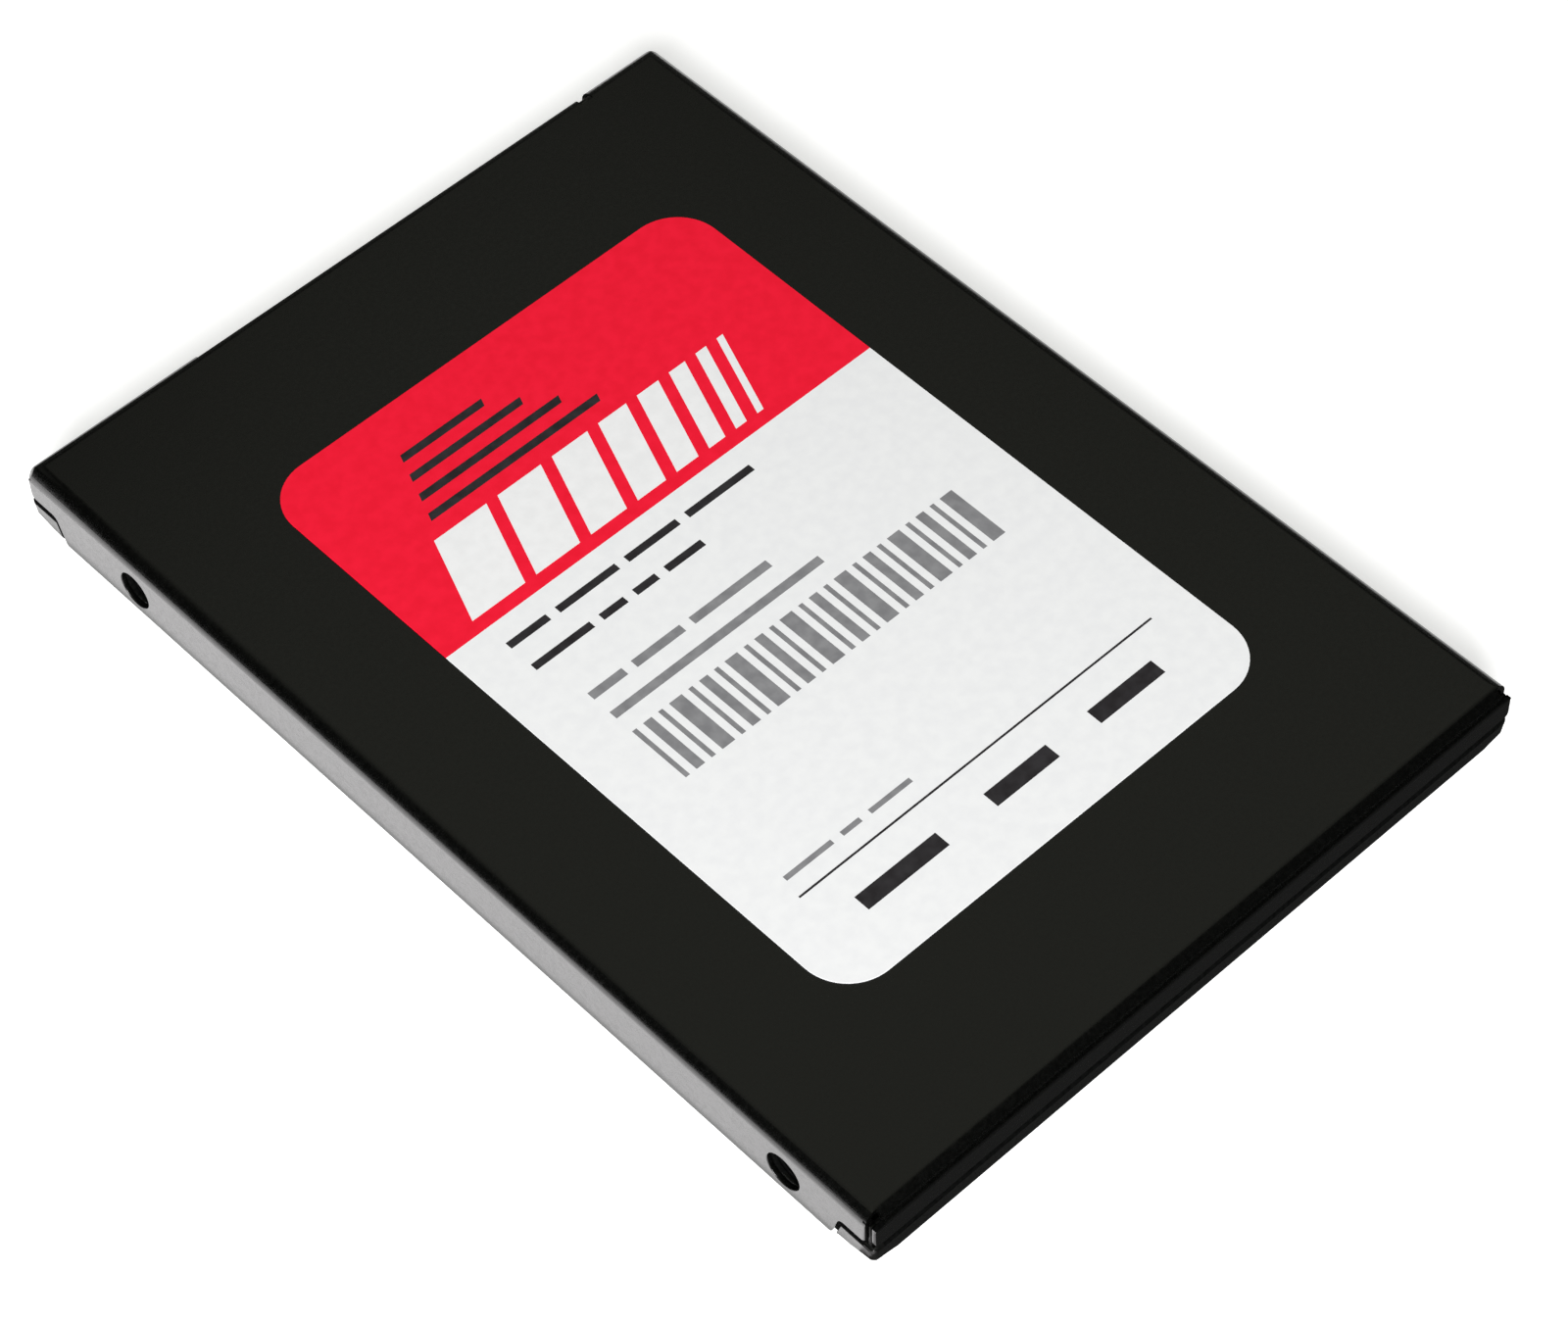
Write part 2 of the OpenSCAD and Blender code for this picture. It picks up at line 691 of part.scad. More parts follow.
// A contact seen from the side, grown by gap: blade, riser and solder tail
module contact_section(gap) {
    riser = plug_back + contact_t;
    translate([plug_back - gap, blade_top - contact_t - gap])
        square([blade_tip - plug_back + 2 * gap, contact_t + gap]);
    translate([plug_back - gap, blade_top - contact_t - gap])
        square([riser - plug_back + 2 * gap, board_top - blade_top + 2 * contact_t + 2 * gap]);
    translate([tail_end - gap, board_top - gap])
        square([riser - tail_end + 2 * gap, contact_t + 2 * gap]);
}

module contact_row(middle_x, count, gap) {
    for (i = [0 : count - 1])
        translate([middle_x + (i - (count - 1) / 2) * contact_pitch, 0, 0])
            along_x(contact_w + 2 * gap) contact_section(gap);
}

// A tongue with the key that hangs from its end
module tongue(middle_x, w) {
    root = plug_wall / 2;
    translate([middle_x - w / 2, plug_face - root, tongue_z - tongue_t / 2])
        cube([w, root + tongue_tip - plug_face, tongue_t]);
    translate([middle_x - w / 2, plug_face - root, tongue_z - tongue_t / 2 - key_h])
        cube([key_w, root + tongue_tip - plug_face, key_h + tongue_t / 2]);
}

module plug_housing() {
    left = plug_x - plug_w / 2;
    color("#17181a") difference() {
        union() {
            translate([left, plug_back, plug_low]) cube([plug_w, plug_wall, plug_h]);
            translate([left, plug_back - ledge_l, board_top])
                cube([plug_w, ledge_l + plug_wall, ledge_h]);
            tongue(signal_x, signal_tongue_w);
            tongue(power_x, power_tongue_w);
            for (x = [left, left + plug_w - guide_w]) translate([x, plug_back, plug_low])
                cube([guide_w, tongue_tip - plug_back, plug_h]);
        }
        // guide slot inside each end wall
        for (s = [-1, 1]) translate([plug_x + s * (plug_w / 2 - guide_w), 0, tongue_z])
            translate([-guide_w / 4, plug_face, -tongue_t / 2])
                cube([guide_w / 2, tongue_tip, tongue_t]);
        contact_row(signal_x, signal_count, set_gap);
        contact_row(power_x, power_count, set_gap);
    }
}

module signal_contacts() {
    color("#d4af58") contact_row(signal_x, signal_count, 0);
}

module power_contacts() {
    color("#d4af58") contact_row(power_x, power_count, 0);
}

// Soldered tab that holds each end of the housing to the board
module plug_tabs() {
    color("#c8cacc") for (s = [0, 1]) translate([plug_x, plug_back - ledge_l, board_top])
        mirror([s, 0, 0]) translate([plug_w / 2, 0, 0]) {
            cube([tab_w, tab_l, tab_t]);
            cube([tab_t, tab_l, tab_h]);
        }
}

module controller_chip() {
    color("#26282a") on_board(controller_at, [controller_w, controller_w, controller_h]);
}

// Soft pad that carries the controller's heat to the cover
module thermal_pad() {
    z = board_top + controller_h;
    pad_w = controller_w - 2 * pad_margin;
    color("#9aa7b4") translate([controller_at.x, controller_at.y, z])
        linear_extrude(cover_inner - z) round_rect(pad_w, pad_w, pad_r);
}

module cache_chip() {
    color("#26282a") on_board(cache_at, cache_size);
}

module boot_chip() {
    color("#26282a") on_board(boot_at, boot_size);
}

// Places 1 to 4 are on the board's top, 5 to 8 on its underside
function memory_at(i) = [
    (i % 2 == 0 ? -1 : 1) * memory_pitch_x / 2,
    (i < 4 ? memory_y : under_memory_y) - floor((i % 4) / 2) * memory_pitch_y
];

module memory_chip(number) {
    i = number - 1;
    size = [memory_w, memory_l, memory_h];
    color("#202224") {
        if (i < 4) on_board(memory_at(i), size);
        else under_board(memory_at(i), size);
    }
}

module inductors() {
    color("#6d6f72") for (i = [0 : 2])
        translate([inductor_at.x, inductor_at.y - i * inductor_pitch, board_top])
            linear_extrude(inductor_h) round_rect(inductor_w, inductor_w, inductor_r);
}

module regulator_chips() {
    color("#26282a") for (i = [0 : 2])
        on_board(regulator_at - [0, i * inductor_pitch], regulator_size);
}

module bulk_capacitors() {
    color("#c98a3a") for (i = [0 : 3]) on_board(bulk_at + [i * bulk_pitch, 0], bulk_size);
}

module clock_crystal() {
    color("#c6c9cc") on_board(crystal_at, crystal_size);
}

// Places of the small parts in a list of rows
function places(rows) = [for (r = rows, i = [0 : r[2] - 1]) r[0] + i * r[1]];

module ceramic_capacitors() {
    color("#b08d66") {
        for (p = places(capacitor_rows)) on_board(p, capacitor_size);
        for (p = places(under_capacitor_rows)) under_board(p, capacitor_size);
    }
}

module chip_resistors() {
    color("#2b2d30") {
        for (p = places(resistor_rows)) on_board(p, resistor_size);
        for (p = places(under_resistor_rows)) under_board(p, resistor_size);
    }
}

base_tray();
top_cover();
top_label();
mounting_nuts();
cover_posts();
case_screws();
board_posts();
board_screws();
insulating_sheet();
main_board();
plug_housing();
power_contacts();
signal_contacts();
plug_tabs();
controller_chip();
thermal_pad();
cache_chip();
boot_chip();
memory_chip(1);  // memory_chip_1
memory_chip(2);  // memory_chip_2
memory_chip(3);  // memory_chip_3
memory_chip(4);  // memory_chip_4
memory_chip(5);  // memory_chip_5
memory_chip(6);  // memory_chip_6
memory_chip(7);  // memory_chip_7
memory_chip(8);  // memory_chip_8
inductors();
regulator_chips();
bulk_capacitors();
clock_crystal();
ceramic_capacitors();
chip_resistors();
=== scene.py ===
import json
import math
import random

import bmesh
import bpy
from mathutils import Matrix, Quaternion, Vector


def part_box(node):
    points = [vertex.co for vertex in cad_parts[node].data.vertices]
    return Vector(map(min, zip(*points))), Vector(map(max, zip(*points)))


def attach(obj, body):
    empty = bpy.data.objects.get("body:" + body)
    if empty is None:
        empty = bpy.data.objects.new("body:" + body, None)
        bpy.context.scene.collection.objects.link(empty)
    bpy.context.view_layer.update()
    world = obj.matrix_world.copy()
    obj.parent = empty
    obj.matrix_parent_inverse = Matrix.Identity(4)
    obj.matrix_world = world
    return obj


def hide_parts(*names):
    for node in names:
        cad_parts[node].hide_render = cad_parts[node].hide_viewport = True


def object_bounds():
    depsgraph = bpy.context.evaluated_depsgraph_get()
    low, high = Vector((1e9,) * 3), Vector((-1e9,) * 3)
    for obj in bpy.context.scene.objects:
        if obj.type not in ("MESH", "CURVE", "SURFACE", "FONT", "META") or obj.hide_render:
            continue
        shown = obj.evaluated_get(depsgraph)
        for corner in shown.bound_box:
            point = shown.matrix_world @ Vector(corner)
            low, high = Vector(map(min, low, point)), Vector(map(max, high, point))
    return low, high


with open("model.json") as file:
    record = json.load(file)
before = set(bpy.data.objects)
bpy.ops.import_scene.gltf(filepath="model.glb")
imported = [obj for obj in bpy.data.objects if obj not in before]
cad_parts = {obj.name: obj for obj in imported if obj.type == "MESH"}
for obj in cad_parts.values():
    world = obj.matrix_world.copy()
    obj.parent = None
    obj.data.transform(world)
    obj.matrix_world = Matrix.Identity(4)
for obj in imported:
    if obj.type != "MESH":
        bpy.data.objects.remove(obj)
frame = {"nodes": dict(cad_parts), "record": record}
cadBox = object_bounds()
mm = 0.001
record = frame["record"]
bodyOfNode = {n: body for body, members in record["behaviour"]["bodies"].items() for n in members}
slotOfNode = {part["node"]: part["material_slot"] for part in record["subparts"]}


# nodes that the finishes share

grain = {
    "tintShare": 0.6, "tintDetail": 4.0, "tintFrom": 0.35, "tintTo": 0.65,
    "dullShare": 0.35, "dullDetail": 2.0, "dullFrom": 0.3, "dullTo": 0.7,
    "bumpDetail": 2.0,
}


def newFinish(name, color, roughness, metallic=0.0, shine=0.5):
    mat = bpy.data.materials.new(name)
    mat.use_nodes = True
    shader = mat.node_tree.nodes["Principled BSDF"]
    shader.inputs["Base Color"].default_value = (*color, 1)
    shader.inputs["Roughness"].default_value = roughness
    shader.inputs["Metallic"].default_value = metallic
    shader.inputs["Specular IOR Level"].default_value = shine
    return mat, mat.node_tree, shader


def millimetres(tree, stretch=(1, 1, 1)):
    coords = tree.nodes.new("ShaderNodeTexCoord")
    mapping = tree.nodes.new("ShaderNodeMapping")
    mapping.inputs["Scale"].default_value = [s / mm for s in stretch]
    tree.links.new(coords.outputs["Object"], mapping.inputs["Vector"])
    return mapping.outputs["Vector"]


def noise(tree, vector, perMm, detail):
    node = tree.nodes.new("ShaderNodeTexNoise")
    node.inputs["Scale"].default_value = perMm
    node.inputs["Detail"].default_value = detail
    tree.links.new(vector, node.inputs["Vector"])
    return node.outputs["Fac"]


def tint(tree, shader, fac, low, high):
    ramp = tree.nodes.new("ShaderNodeValToRGB")
    first, last = ramp.color_ramp.elements
    first.position, first.color = grain["tintFrom"], (*low, 1)
    last.position, last.color = grain["tintTo"], (*high, 1)
    tree.links.new(fac, ramp.inputs["Fac"])
    tree.links.new(ramp.outputs["Color"], shader.inputs["Base Color"])


def dulled(tree, shader, fac, low, high):
    spread = tree.nodes.new("ShaderNodeMapRange")
    spread.inputs["From Min"].default_value = grain["dullFrom"]
    spread.inputs["From Max"].default_value = grain["dullTo"]
    spread.inputs["To Min"].default_value = low
    spread.inputs["To Max"].default_value = high
    tree.links.new(fac, spread.inputs["Value"])
    tree.links.new(spread.outputs["Result"], shader.inputs["Roughness"])


def bumped(tree, shader, fac, strength, depthMm):
    node = tree.nodes.new("ShaderNodeBump")
    node.inputs["Strength"].default_value = strength
    node.inputs["Distance"].default_value = depthMm * mm
    tree.links.new(fac, node.inputs["Height"])
    tree.links.new(node.outputs["Normal"], shader.inputs["Normal"])


def grainyFinish(name, low, high, rough, perMm, bump, metallic=0.0, shine=0.5, stretch=(1, 1, 1)):
    mat, tree, shader = newFinish(name, low, rough[0], metallic, shine)
    where = millimetres(tree, stretch)
    tint(tree, shader, noise(tree, where, perMm * grain["tintShare"], grain["tintDetail"]), low, high)
    dulled(tree, shader, noise(tree, where, perMm * grain["dullShare"], grain["dullDetail"]), *rough)
    bumped(tree, shader, noise(tree, where, perMm, grain["bumpDetail"]), *bump)
    return mat


printed = dict(rough=(0.4, 0.5), shine=0.3, perMm=1.4, bump=(0.12, 0.006))
# darkest and lightest colour, roughness, grains per millimetre, and strength and depth of the bump
finishPlan = {
    # fine powder coat on the folded sheets
    "coverPaint": dict(low=(0.0004, 0.0005, 0.0004), high=(0.0012, 0.0013, 0.001), rough=(0.22, 0.3),
        perMm=7.0, bump=(0.3, 0.007)),
    "trayPaint": dict(low=(0.0008, 0.0009, 0.0008), high=(0.003, 0.0032, 0.0026), rough=(0.25, 0.34),
        perMm=7.0, bump=(0.4, 0.007)),
    # a duller copy of the tray paint with little shine, dimmed as painted shade in the corner gaps
    "trayPaintShade": dict(low=(0.0008, 0.0009, 0.0008), high=(0.003, 0.0032, 0.0026), rough=(0.3, 0.4),
        shine=0.1, perMm=7.0, bump=(0.4, 0.007)),
    # dark, dull finish laid on the notch and seam faces as painted shade
    "paintedShadeBlack": dict(low=(0.001, 0.0011, 0.001), high=(0.003, 0.0032, 0.003), rough=(0.8, 0.92),
        shine=0.03, perMm=5.0, bump=(0.4, 0.012)),
    # printed film
    "labelWhite": dict(low=(0.82, 0.825, 0.84), high=(0.855, 0.86, 0.87), **printed),
    "labelRed": dict(low=(0.85, 0.005, 0.029), high=(0.91, 0.0075, 0.036), **printed),
    "inkDark": dict(low=(0.016, 0.014, 0.016), high=(0.028, 0.026, 0.029), **printed),
    "inkGrey": dict(low=(0.2, 0.2, 0.21), high=(0.26, 0.26, 0.27), **printed),
    "inkWhite": dict(low=(0.83, 0.83, 0.84), high=(0.87, 0.87, 0.88), **printed),
    # turned and plated metal
    # dark nut metal, darkened further as painted shade in the side holes
    "nutBlackShade": dict(low=(0.008, 0.008, 0.009), high=(0.022, 0.022, 0.023), rough=(0.28, 0.42),
        metallic=0.8, perMm=6.0, bump=(0.2, 0.006)),
    "postSteel": dict(low=(0.46, 0.46, 0.47), high=(0.6, 0.6, 0.61), rough=(0.22, 0.36),
        metallic=1.0, perMm=5.0, bump=(0.2, 0.006), stretch=(1, 1, 0.15)),
    "screwBlack": dict(low=(0.03, 0.03, 0.031), high=(0.055, 0.055, 0.057), rough=(0.3, 0.42),
        metallic=0.85, perMm=5.0, bump=(0.2, 0.006)),
    "screwNickel": dict(low=(0.55, 0.54, 0.51), high=(0.68, 0.67, 0.64), rough=(0.18, 0.3),
        metallic=1.0, perMm=5.0, bump=(0.15, 0.005)),
    "postBrass": dict(low=(0.55, 0.36, 0.11), high=(0.68, 0.47, 0.17), rough=(0.2, 0.34),
        metallic=1.0, perMm=5.0, bump=(0.15, 0.005)),
    "contactGold": dict(low=(0.72, 0.48, 0.15), high=(0.82, 0.58, 0.22), rough=(0.16, 0.28),
        metallic=1.0, perMm=4.0, bump=(0.15, 0.004)),
    "solderTin": dict(low=(0.5, 0.5, 0.49), high=(0.66, 0.66, 0.65), rough=(0.22, 0.4),
        metallic=1.0, perMm=4.0, bump=(0.3, 0.01)),
    # board and moulded parts
    "maskGreen": dict(low=(0.008, 0.075, 0.032), high=(0.013, 0.1, 0.045), rough=(0.28, 0.38),
        perMm=2.0, bump=(0.2, 0.006)),
    "maskTrace": dict(low=(0.016, 0.13, 0.06), high=(0.022, 0.16, 0.075), rough=(0.28, 0.38),
        perMm=2.0, bump=(0.2, 0.006)),
    "plugBlack": dict(low=(0.008, 0.008, 0.009), high=(0.013, 0.013, 0.014), rough=(0.42, 0.55),
        perMm=6.0, bump=(0.3, 0.008)),
    "chipBlack": dict(low=(0.014, 0.014, 0.015), high=(0.024, 0.024, 0.026), rough=(0.5, 0.66),
        perMm=7.0, bump=(0.5, 0.012)),
    "chipMark": dict(low=(0.05, 0.05, 0.052), high=(0.075, 0.075, 0.078), rough=(0.6, 0.72),
        perMm=7.0, bump=(0.3, 0.008)),
    "padGrey": dict(low=(0.3, 0.35, 0.41), high=(0.37, 0.42, 0.48), rough=(0.7, 0.85),
        shine=0.3, perMm=5.0, bump=(0.6, 0.02)),
    "ferriteGrey": dict(low=(0.09, 0.09, 0.095), high=(0.15, 0.15, 0.155), rough=(0.5, 0.7),
        perMm=8.0, bump=(0.6, 0.02)),
    "bulkTan": dict(low=(0.5, 0.24, 0.045), high=(0.58, 0.3, 0.065), rough=(0.4, 0.55),
        perMm=5.0, bump=(0.3, 0.01)),
    "ceramicTan": dict(low=(0.34, 0.22, 0.12), high=(0.42, 0.28, 0.16), rough=(0.4, 0.55),
        perMm=8.0, bump=(0.3, 0.01)),
    "laminateEdge": dict(low=(0.2, 0.22, 0.1), high=(0.28, 0.3, 0.15), rough=(0.55, 0.7),
        perMm=9.0, bump=(0.4, 0.012)),
    "ceramicWhite": dict(low=(0.62, 0.61, 0.58), high=(0.7, 0.69, 0.66), rough=(0.4, 0.55),
        perMm=8.0, bump=(0.2, 0.006)),
    "bulkBand": dict(low=(0.16, 0.06, 0.015), high=(0.21, 0.085, 0.02), rough=(0.4, 0.55),
        perMm=5.0, bump=(0.3, 0.01)),
    "canNickel": dict(low=(0.6, 0.58, 0.53), high=(0.7, 0.68, 0.63), rough=(0.2, 0.32),
        metallic=1.0, perMm=5.0, bump=(0.15, 0.004), stretch=(0.2, 1, 1)),
    "filmAmber": dict(low=(0.5, 0.31, 0.06), high=(0.58, 0.37, 0.08), rough=(0.22, 0.32),
        perMm=0.8, bump=(0.2, 0.02)),
}
finishes = {name: grainyFinish(name, **plan) for name, plan in finishPlan.items()}
print("finishes:", len(finishes))


# mesh helpers

meshing = {
    "weld": 2e-6, "cutNear": 1e-7, "topNear": 1e-6,  # metres
    "flatDegrees": 0.5, "smoothDegrees": 38,
}


def joinedMesh(node):
    bm = bmesh.new()
    bm.from_mesh(frame["nodes"][node].data)
    bmesh.ops.remove_doubles(bm, verts=bm.verts, dist=meshing["weld"])
    return bm


def tidyFlats(bm):
    flat = math.radians(meshing["flatDegrees"])
    bmesh.ops.dissolve_limit(bm, angle_limit=flat, verts=bm.verts, edges=bm.edges, delimit={"SEAM"})


def everything(bm):
    return bm.verts[:] + bm.edges[:] + bm.faces[:]


def edgesAmong(parts):
    return [part for part in parts if isinstance(part, bmesh.types.BMEdge)]


# the shape as it was built, its flats joined up; a cut through each row of holes keeps the flats whole
def cadShape(node, cutYs=(), cutXs=(), cutZs=()):
    bm = joinedMesh(node)
    for axis, places in enumerate((cutXs, cutYs, cutZs)):
        across = Vector([i == axis for i in range(3)])
        for place in places:
            made = bmesh.ops.bisect_plane(bm, geom=everything(bm), dist=meshing["cutNear"],
                                          plane_co=across * place * mm, plane_no=across)
            for edge in edgesAmong(made["geom_cut"]):
                edge.seam = True
    tidyFlats(bm)
    bm.normal_update()
    return bm


# the box of each separate solid in a node
def islands(node):
    bm = joinedMesh(node)
    left = set(bm.verts)
    boxes = []
    while left:
        todo = [left.pop()]
        found = []
        while todo:
            v = todo.pop()
            found.append(v.co.copy())
            for e in v.link_edges:
                near = e.other_vert(v)
                if near in left:
                    left.remove(near)
                    todo.append(near)
        boxes.append((Vector([min(c[i] for c in found) for i in range(3)]),
                      Vector([max(c[i] for c in found) for i in range(3)])))
    bm.free()
    return sorted(boxes, key=lambda b: [round(c, 6) for c in b[0]])


def middleOf(box):
    low, high = box
    return (low.x + high.x) / 2 / mm, (low.y + high.y) / 2 / mm


# the rows that a node's solids stand in
def rowYs(boxes):
    return sorted({round(middleOf(box)[1], 3) for box in boxes})


def soften(bm, widthMm, fromDegrees=50, sharp=None):
    bm.normal_update()
    least = math.radians(fromDegrees)
    edges = [e for e in bm.edges if len(e.link_faces) == 2 and e.calc_face_angle(0) > least]
    if sharp:
        edges = [e for e in edges if not sharp((e.verts[0].co + e.verts[1].co) / 2 / mm)]
    bmesh.ops.bevel(bm, geom=edges, offset=widthMm * mm, offset_type="OFFSET", segments=2,
                    profile=0.5, affect="EDGES", clamp_overlap=False, loop_slide=True)


def addPiece(name, bm, looks, body, slot, nodes=()):
    mesh = bpy.data.meshes.new(name)
    bm.to_mesh(mesh)
    bm.free()
    for look in looks:
        mesh.materials.append(finishes[look])
    mesh.shade_smooth()
    mesh.set_sharp_from_angle(angle=math.radians(meshing["smoothDegrees"]))
    piece = bpy.data.objects.new(name, mesh)
    bpy.context.scene.collection.objects.link(piece)
    even = piece.modifiers.new("evenNormals", "WEIGHTED_NORMAL")
    even.keep_sharp = True
    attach(piece, body)
    if nodes:
        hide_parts(*nodes)


def replaceNode(name, node, bm, looks):
    addPiece(name, bm, looks, bodyOfNode[node], slotOfNode[node], [node])


# a CAD shape with its edges softened
def softenedNode(node, kind, cutYs=()):
    shape = cadShape(node, cutYs)
    soften(shape, kind["edge"])
    replaceNode(kind["name"], node, shape, [kind["look"]])


def hull(bm, points, look=0):
    verts = [bm.verts.new(p) for p in points]
    made = bmesh.ops.convex_hull(bm, input=verts)
    for part in made["geom"]:
        if isinstance(part, bmesh.types.BMFace):
            part.material_index = look


def inPlace(x, y, z):
    return Vector((x, y, z)) * mm


# a block with its edges taken off; sizes in millimetres, set down by the place function
def softBlock(bm, low, high, edge, look=0, place=inPlace):
    points = []
    for sx in (0, 1):
        for sy in (0, 1):
            for sz in (0, 1):
                sides = (sx, sy, sz)
                for axis in range(3):
                    p = [(high[i] if sides[i] else low[i]) for i in range(3)]
                    for i in range(3):
                        if i != axis:
                            p[i] += -edge if sides[i] else edge
                    points.append(place(*p))
    hull(bm, points, look)


def flatBlock(bm, low, high, look=0, place=inPlace):
    xs, ys, zs = zip(low, high)
    hull(bm, [place(x, y, z) for x in xs for y in ys for z in zs], look)


def circle(x, y, radius, sides):
    turns = [2 * math.pi * i / sides for i in range(sides)]
    return [(x + radius * math.cos(t), y + radius * math.sin(t)) for t in turns]


def disc(bm, x, y, low, high, radius, sides, look=0, place=inPlace):
    hull(bm, [place(px, py, z) for px, py in circle(x, y, radius, sides) for z in (low, high)], look)


# joins each loop of points to the next one
def bridge(bm, loops, look=0):
    for near, far in zip(loops, loops[1:]):
        for i in range(len(near)):
            j = (i + 1) % len(near)
            bm.faces.new((near[i], near[j], far[j], far[i])).material_index = look


def ring(bm, x, y, inner, outer, low, high, sides, look=0):
    loops = []
    for radius, z in ((inner, low), (inner, high), (outer, high), (outer, low)):
        loops.append([bm.verts.new(inPlace(px, py, z)) for px, py in circle(x, y, radius, sides)])
    bridge(bm, loops + loops[:1], look)


# a bent strip: path of (out, height) from a side, with the strip's width across it
def ribbon(bm, path, width, thick, look, place):
    rows = []
    for i, (out, height) in enumerate(path):
        before, after = path[max(i - 1, 0)], path[min(i + 1, len(path) - 1)]
        run, rise = after[0] - before[0], after[1] - before[1]
        length = math.hypot(run, rise)
        lean, stand = -rise / length * thick / 2, run / length * thick / 2
        rows.append([bm.verts.new(place(out + s * lean, w * width / 2, height + s * stand))
                     for s, w in ((1, -1), (1, 1), (-1, 1), (-1, -1))])
    bridge(bm, rows, look)
    for end in (rows[0], rows[-1]):
        bm.faces.new(end).material_index = look


threadForm = {"sides": 40, "perTurn": 8, "runOut": 0.5, "steepness": 1.6}


def thread(bm, start, along, rimMm, grooveMm, pitchMm, lengthMm):
    sides = threadForm["sides"]
    rings = max(2, round(lengthMm / pitchMm * threadForm["perTurn"]))
    runOut = pitchMm * threadForm["runOut"]
    along = along.normalized()
    across = along.orthogonal().normalized()
    other = along.cross(across)
    rows = []
    for i in range(rings + 1):
        at = lengthMm * i / rings
        fade = min(1, at / runOut, (lengthMm - at) / runOut)
        row = []
        for j in range(sides):
            phase = (at / pitchMm - j / sides) % 1
            swing = min(1, threadForm["steepness"] * (1 - abs(2 * phase - 1)))
            radius = (rimMm + (grooveMm - rimMm) * fade * swing) * mm
            turn = 2 * math.pi * j / sides
            row.append(bm.verts.new(start + along * at * mm
                                    + (across * math.cos(turn) + other * math.sin(turn)) * radius))
        rows.append(row)
    bridge(bm, rows)


wallFit = {"radius": 0.004, "before": 0.01, "lean": 0.1}  # how far off a round wall may be


# takes the plain wall out of a round bore or off a shaft, and tells where it ran
def dropRoundWall(bm, centre, along, radiusMm, reachMm):
    along = along.normalized()

    def onWall(v):
        away = v.co - centre
        run = away.dot(along)
        off = abs((away - along * run).length - radiusMm * mm)
        return off < wallFit["radius"] * mm and -wallFit["before"] * mm < run < reachMm * mm

    upright = [f for f in bm.faces if abs(f.normal.dot(along)) < wallFit["lean"]]
    walls = [f for f in upright if all(onWall(v) for v in f.verts)]
    runs = [(v.co - centre).dot(along) / mm for f in walls for v in f.verts]
    bmesh.ops.delete(bm, geom=walls, context="FACES")
    return min(runs), max(runs)


# folded sheets

sheets = {
    "edge": 0.07, "softFrom": 40, "halfX": 34.925, "halfY": 50.1,
    "holeYs": (36.1, -40.5), "postYs": (46.1, -46.1), "openingXs": (-16.99, 26.59), "farCuts": (-48.4, -48.9),
    # corners that are too tight to soften
    "tightCover": (33.3, 48.6, 5.3), "tightTrayY": 49, "tightTrayZ": 1.2, "tightTrayReach": 0.7,
    # tray's rib in the far corners
    "ribLow": (34.1, -49.6, 2.6), "ribHigh": (34.65, -49.27, 5.62), "ribEdge": 0.05,
    # web in the relief slot
    "slotLow": (25.3, 48.5, 6.48), "slotHigh": (26.65, 49.0, 6.86), "slotEdge": 0.03,
    # blunted corners at the plug end
    "tipPoint": (34.0, 49.83, 6.38), "tipSlope": (0.86, 0.86, 0.725),
    # round under the tray's corners
    "footReach": 2.6, "footPull": 1.1, "footPower": 3, "footTop": 2.5, "footCuts": (2.6, 2.0, 1.2),
    # faces in the cover's notches and relief slot that get painted shade
    "notch": (33.4, -49, 6), "reliefY": 48.4, "reliefReach": 1.5, "notchLean": 0.3,
    # faces of the tray along the seams that get painted shade
    "openX": 34.0, "openY": -49.3, "seamTop": 3.7, "shoulder": 2.5, "shoulderLean": 0.2,
    "stripX": 34.6, "stripY": 49.8, "stripLow": 1.5, "stepY": 47.4, "stepLean": 0.3,
}


def tightCoverCorner(p):
    x, y, z = sheets["tightCover"]
    return abs(p.x) > x and abs(p.y) > y and p.z > z


def tightTrayCorner(p):
    atOpening = any(abs(p.x - x) < sheets["tightTrayReach"] for x in sheets["openingXs"])
    return p.y > sheets["tightTrayY"] and p.z < sheets["tightTrayZ"] and atOpening


# cuts the tips off the cover's corners at the plug end
def bluntTips(bm):
    x, y, z = sheets["tipPoint"]
    slopeX, slopeY, slopeZ = sheets["tipSlope"]
    for side in (-1, 1):
        cut = bmesh.ops.bisect_plane(bm, geom=everything(bm), plane_co=inPlace(side * x, y, z),
                                     plane_no=(side * slopeX, slopeY, slopeZ), clear_outer=True)
        bmesh.ops.holes_fill(bm, edges=edgesAmong(cut["geom_cut"]))


# faces of the cover that line its notches and its relief slot, which get a dark dull finish as painted shade
def paintedShadeInNotch(face):
    p = face.calc_center_median() / mm
    x, y, z = sheets["notch"]
    atNotch = abs(p.x) > x and p.y < y and p.z < z
    atRelief = p.y > sheets["reliefY"] and abs(p.x - sheets["openingXs"][1]) < sheets["reliefReach"]
    lean = sheets["notchLean"]
    return atNotch and face.normal.z > lean or atRelief and abs(face.normal.x) > lean


# draws in the low part of the tray's corners, and keeps its softened edges off the floor
def roundTrayFeet(bm):
    reach = sheets["footReach"]
    for v in bm.verts:
        v.co.z = max(v.co.z, 0)
        nearX = 1 - (sheets["halfX"] - abs(v.co.x) / mm) / reach
        nearY = 1 - (sheets["halfY"] - abs(v.co.y) / mm) / reach
        low = 1 - v.co.z / mm / sheets["footTop"]
        if min(nearX, nearY, low) > 0:
            pull = sheets["footPull"] * nearX * nearY * low ** sheets["footPower"] * mm
            v.co.x -= math.copysign(pull, v.co.x)
            v.co.y -= math.copysign(pull, v.co.y)
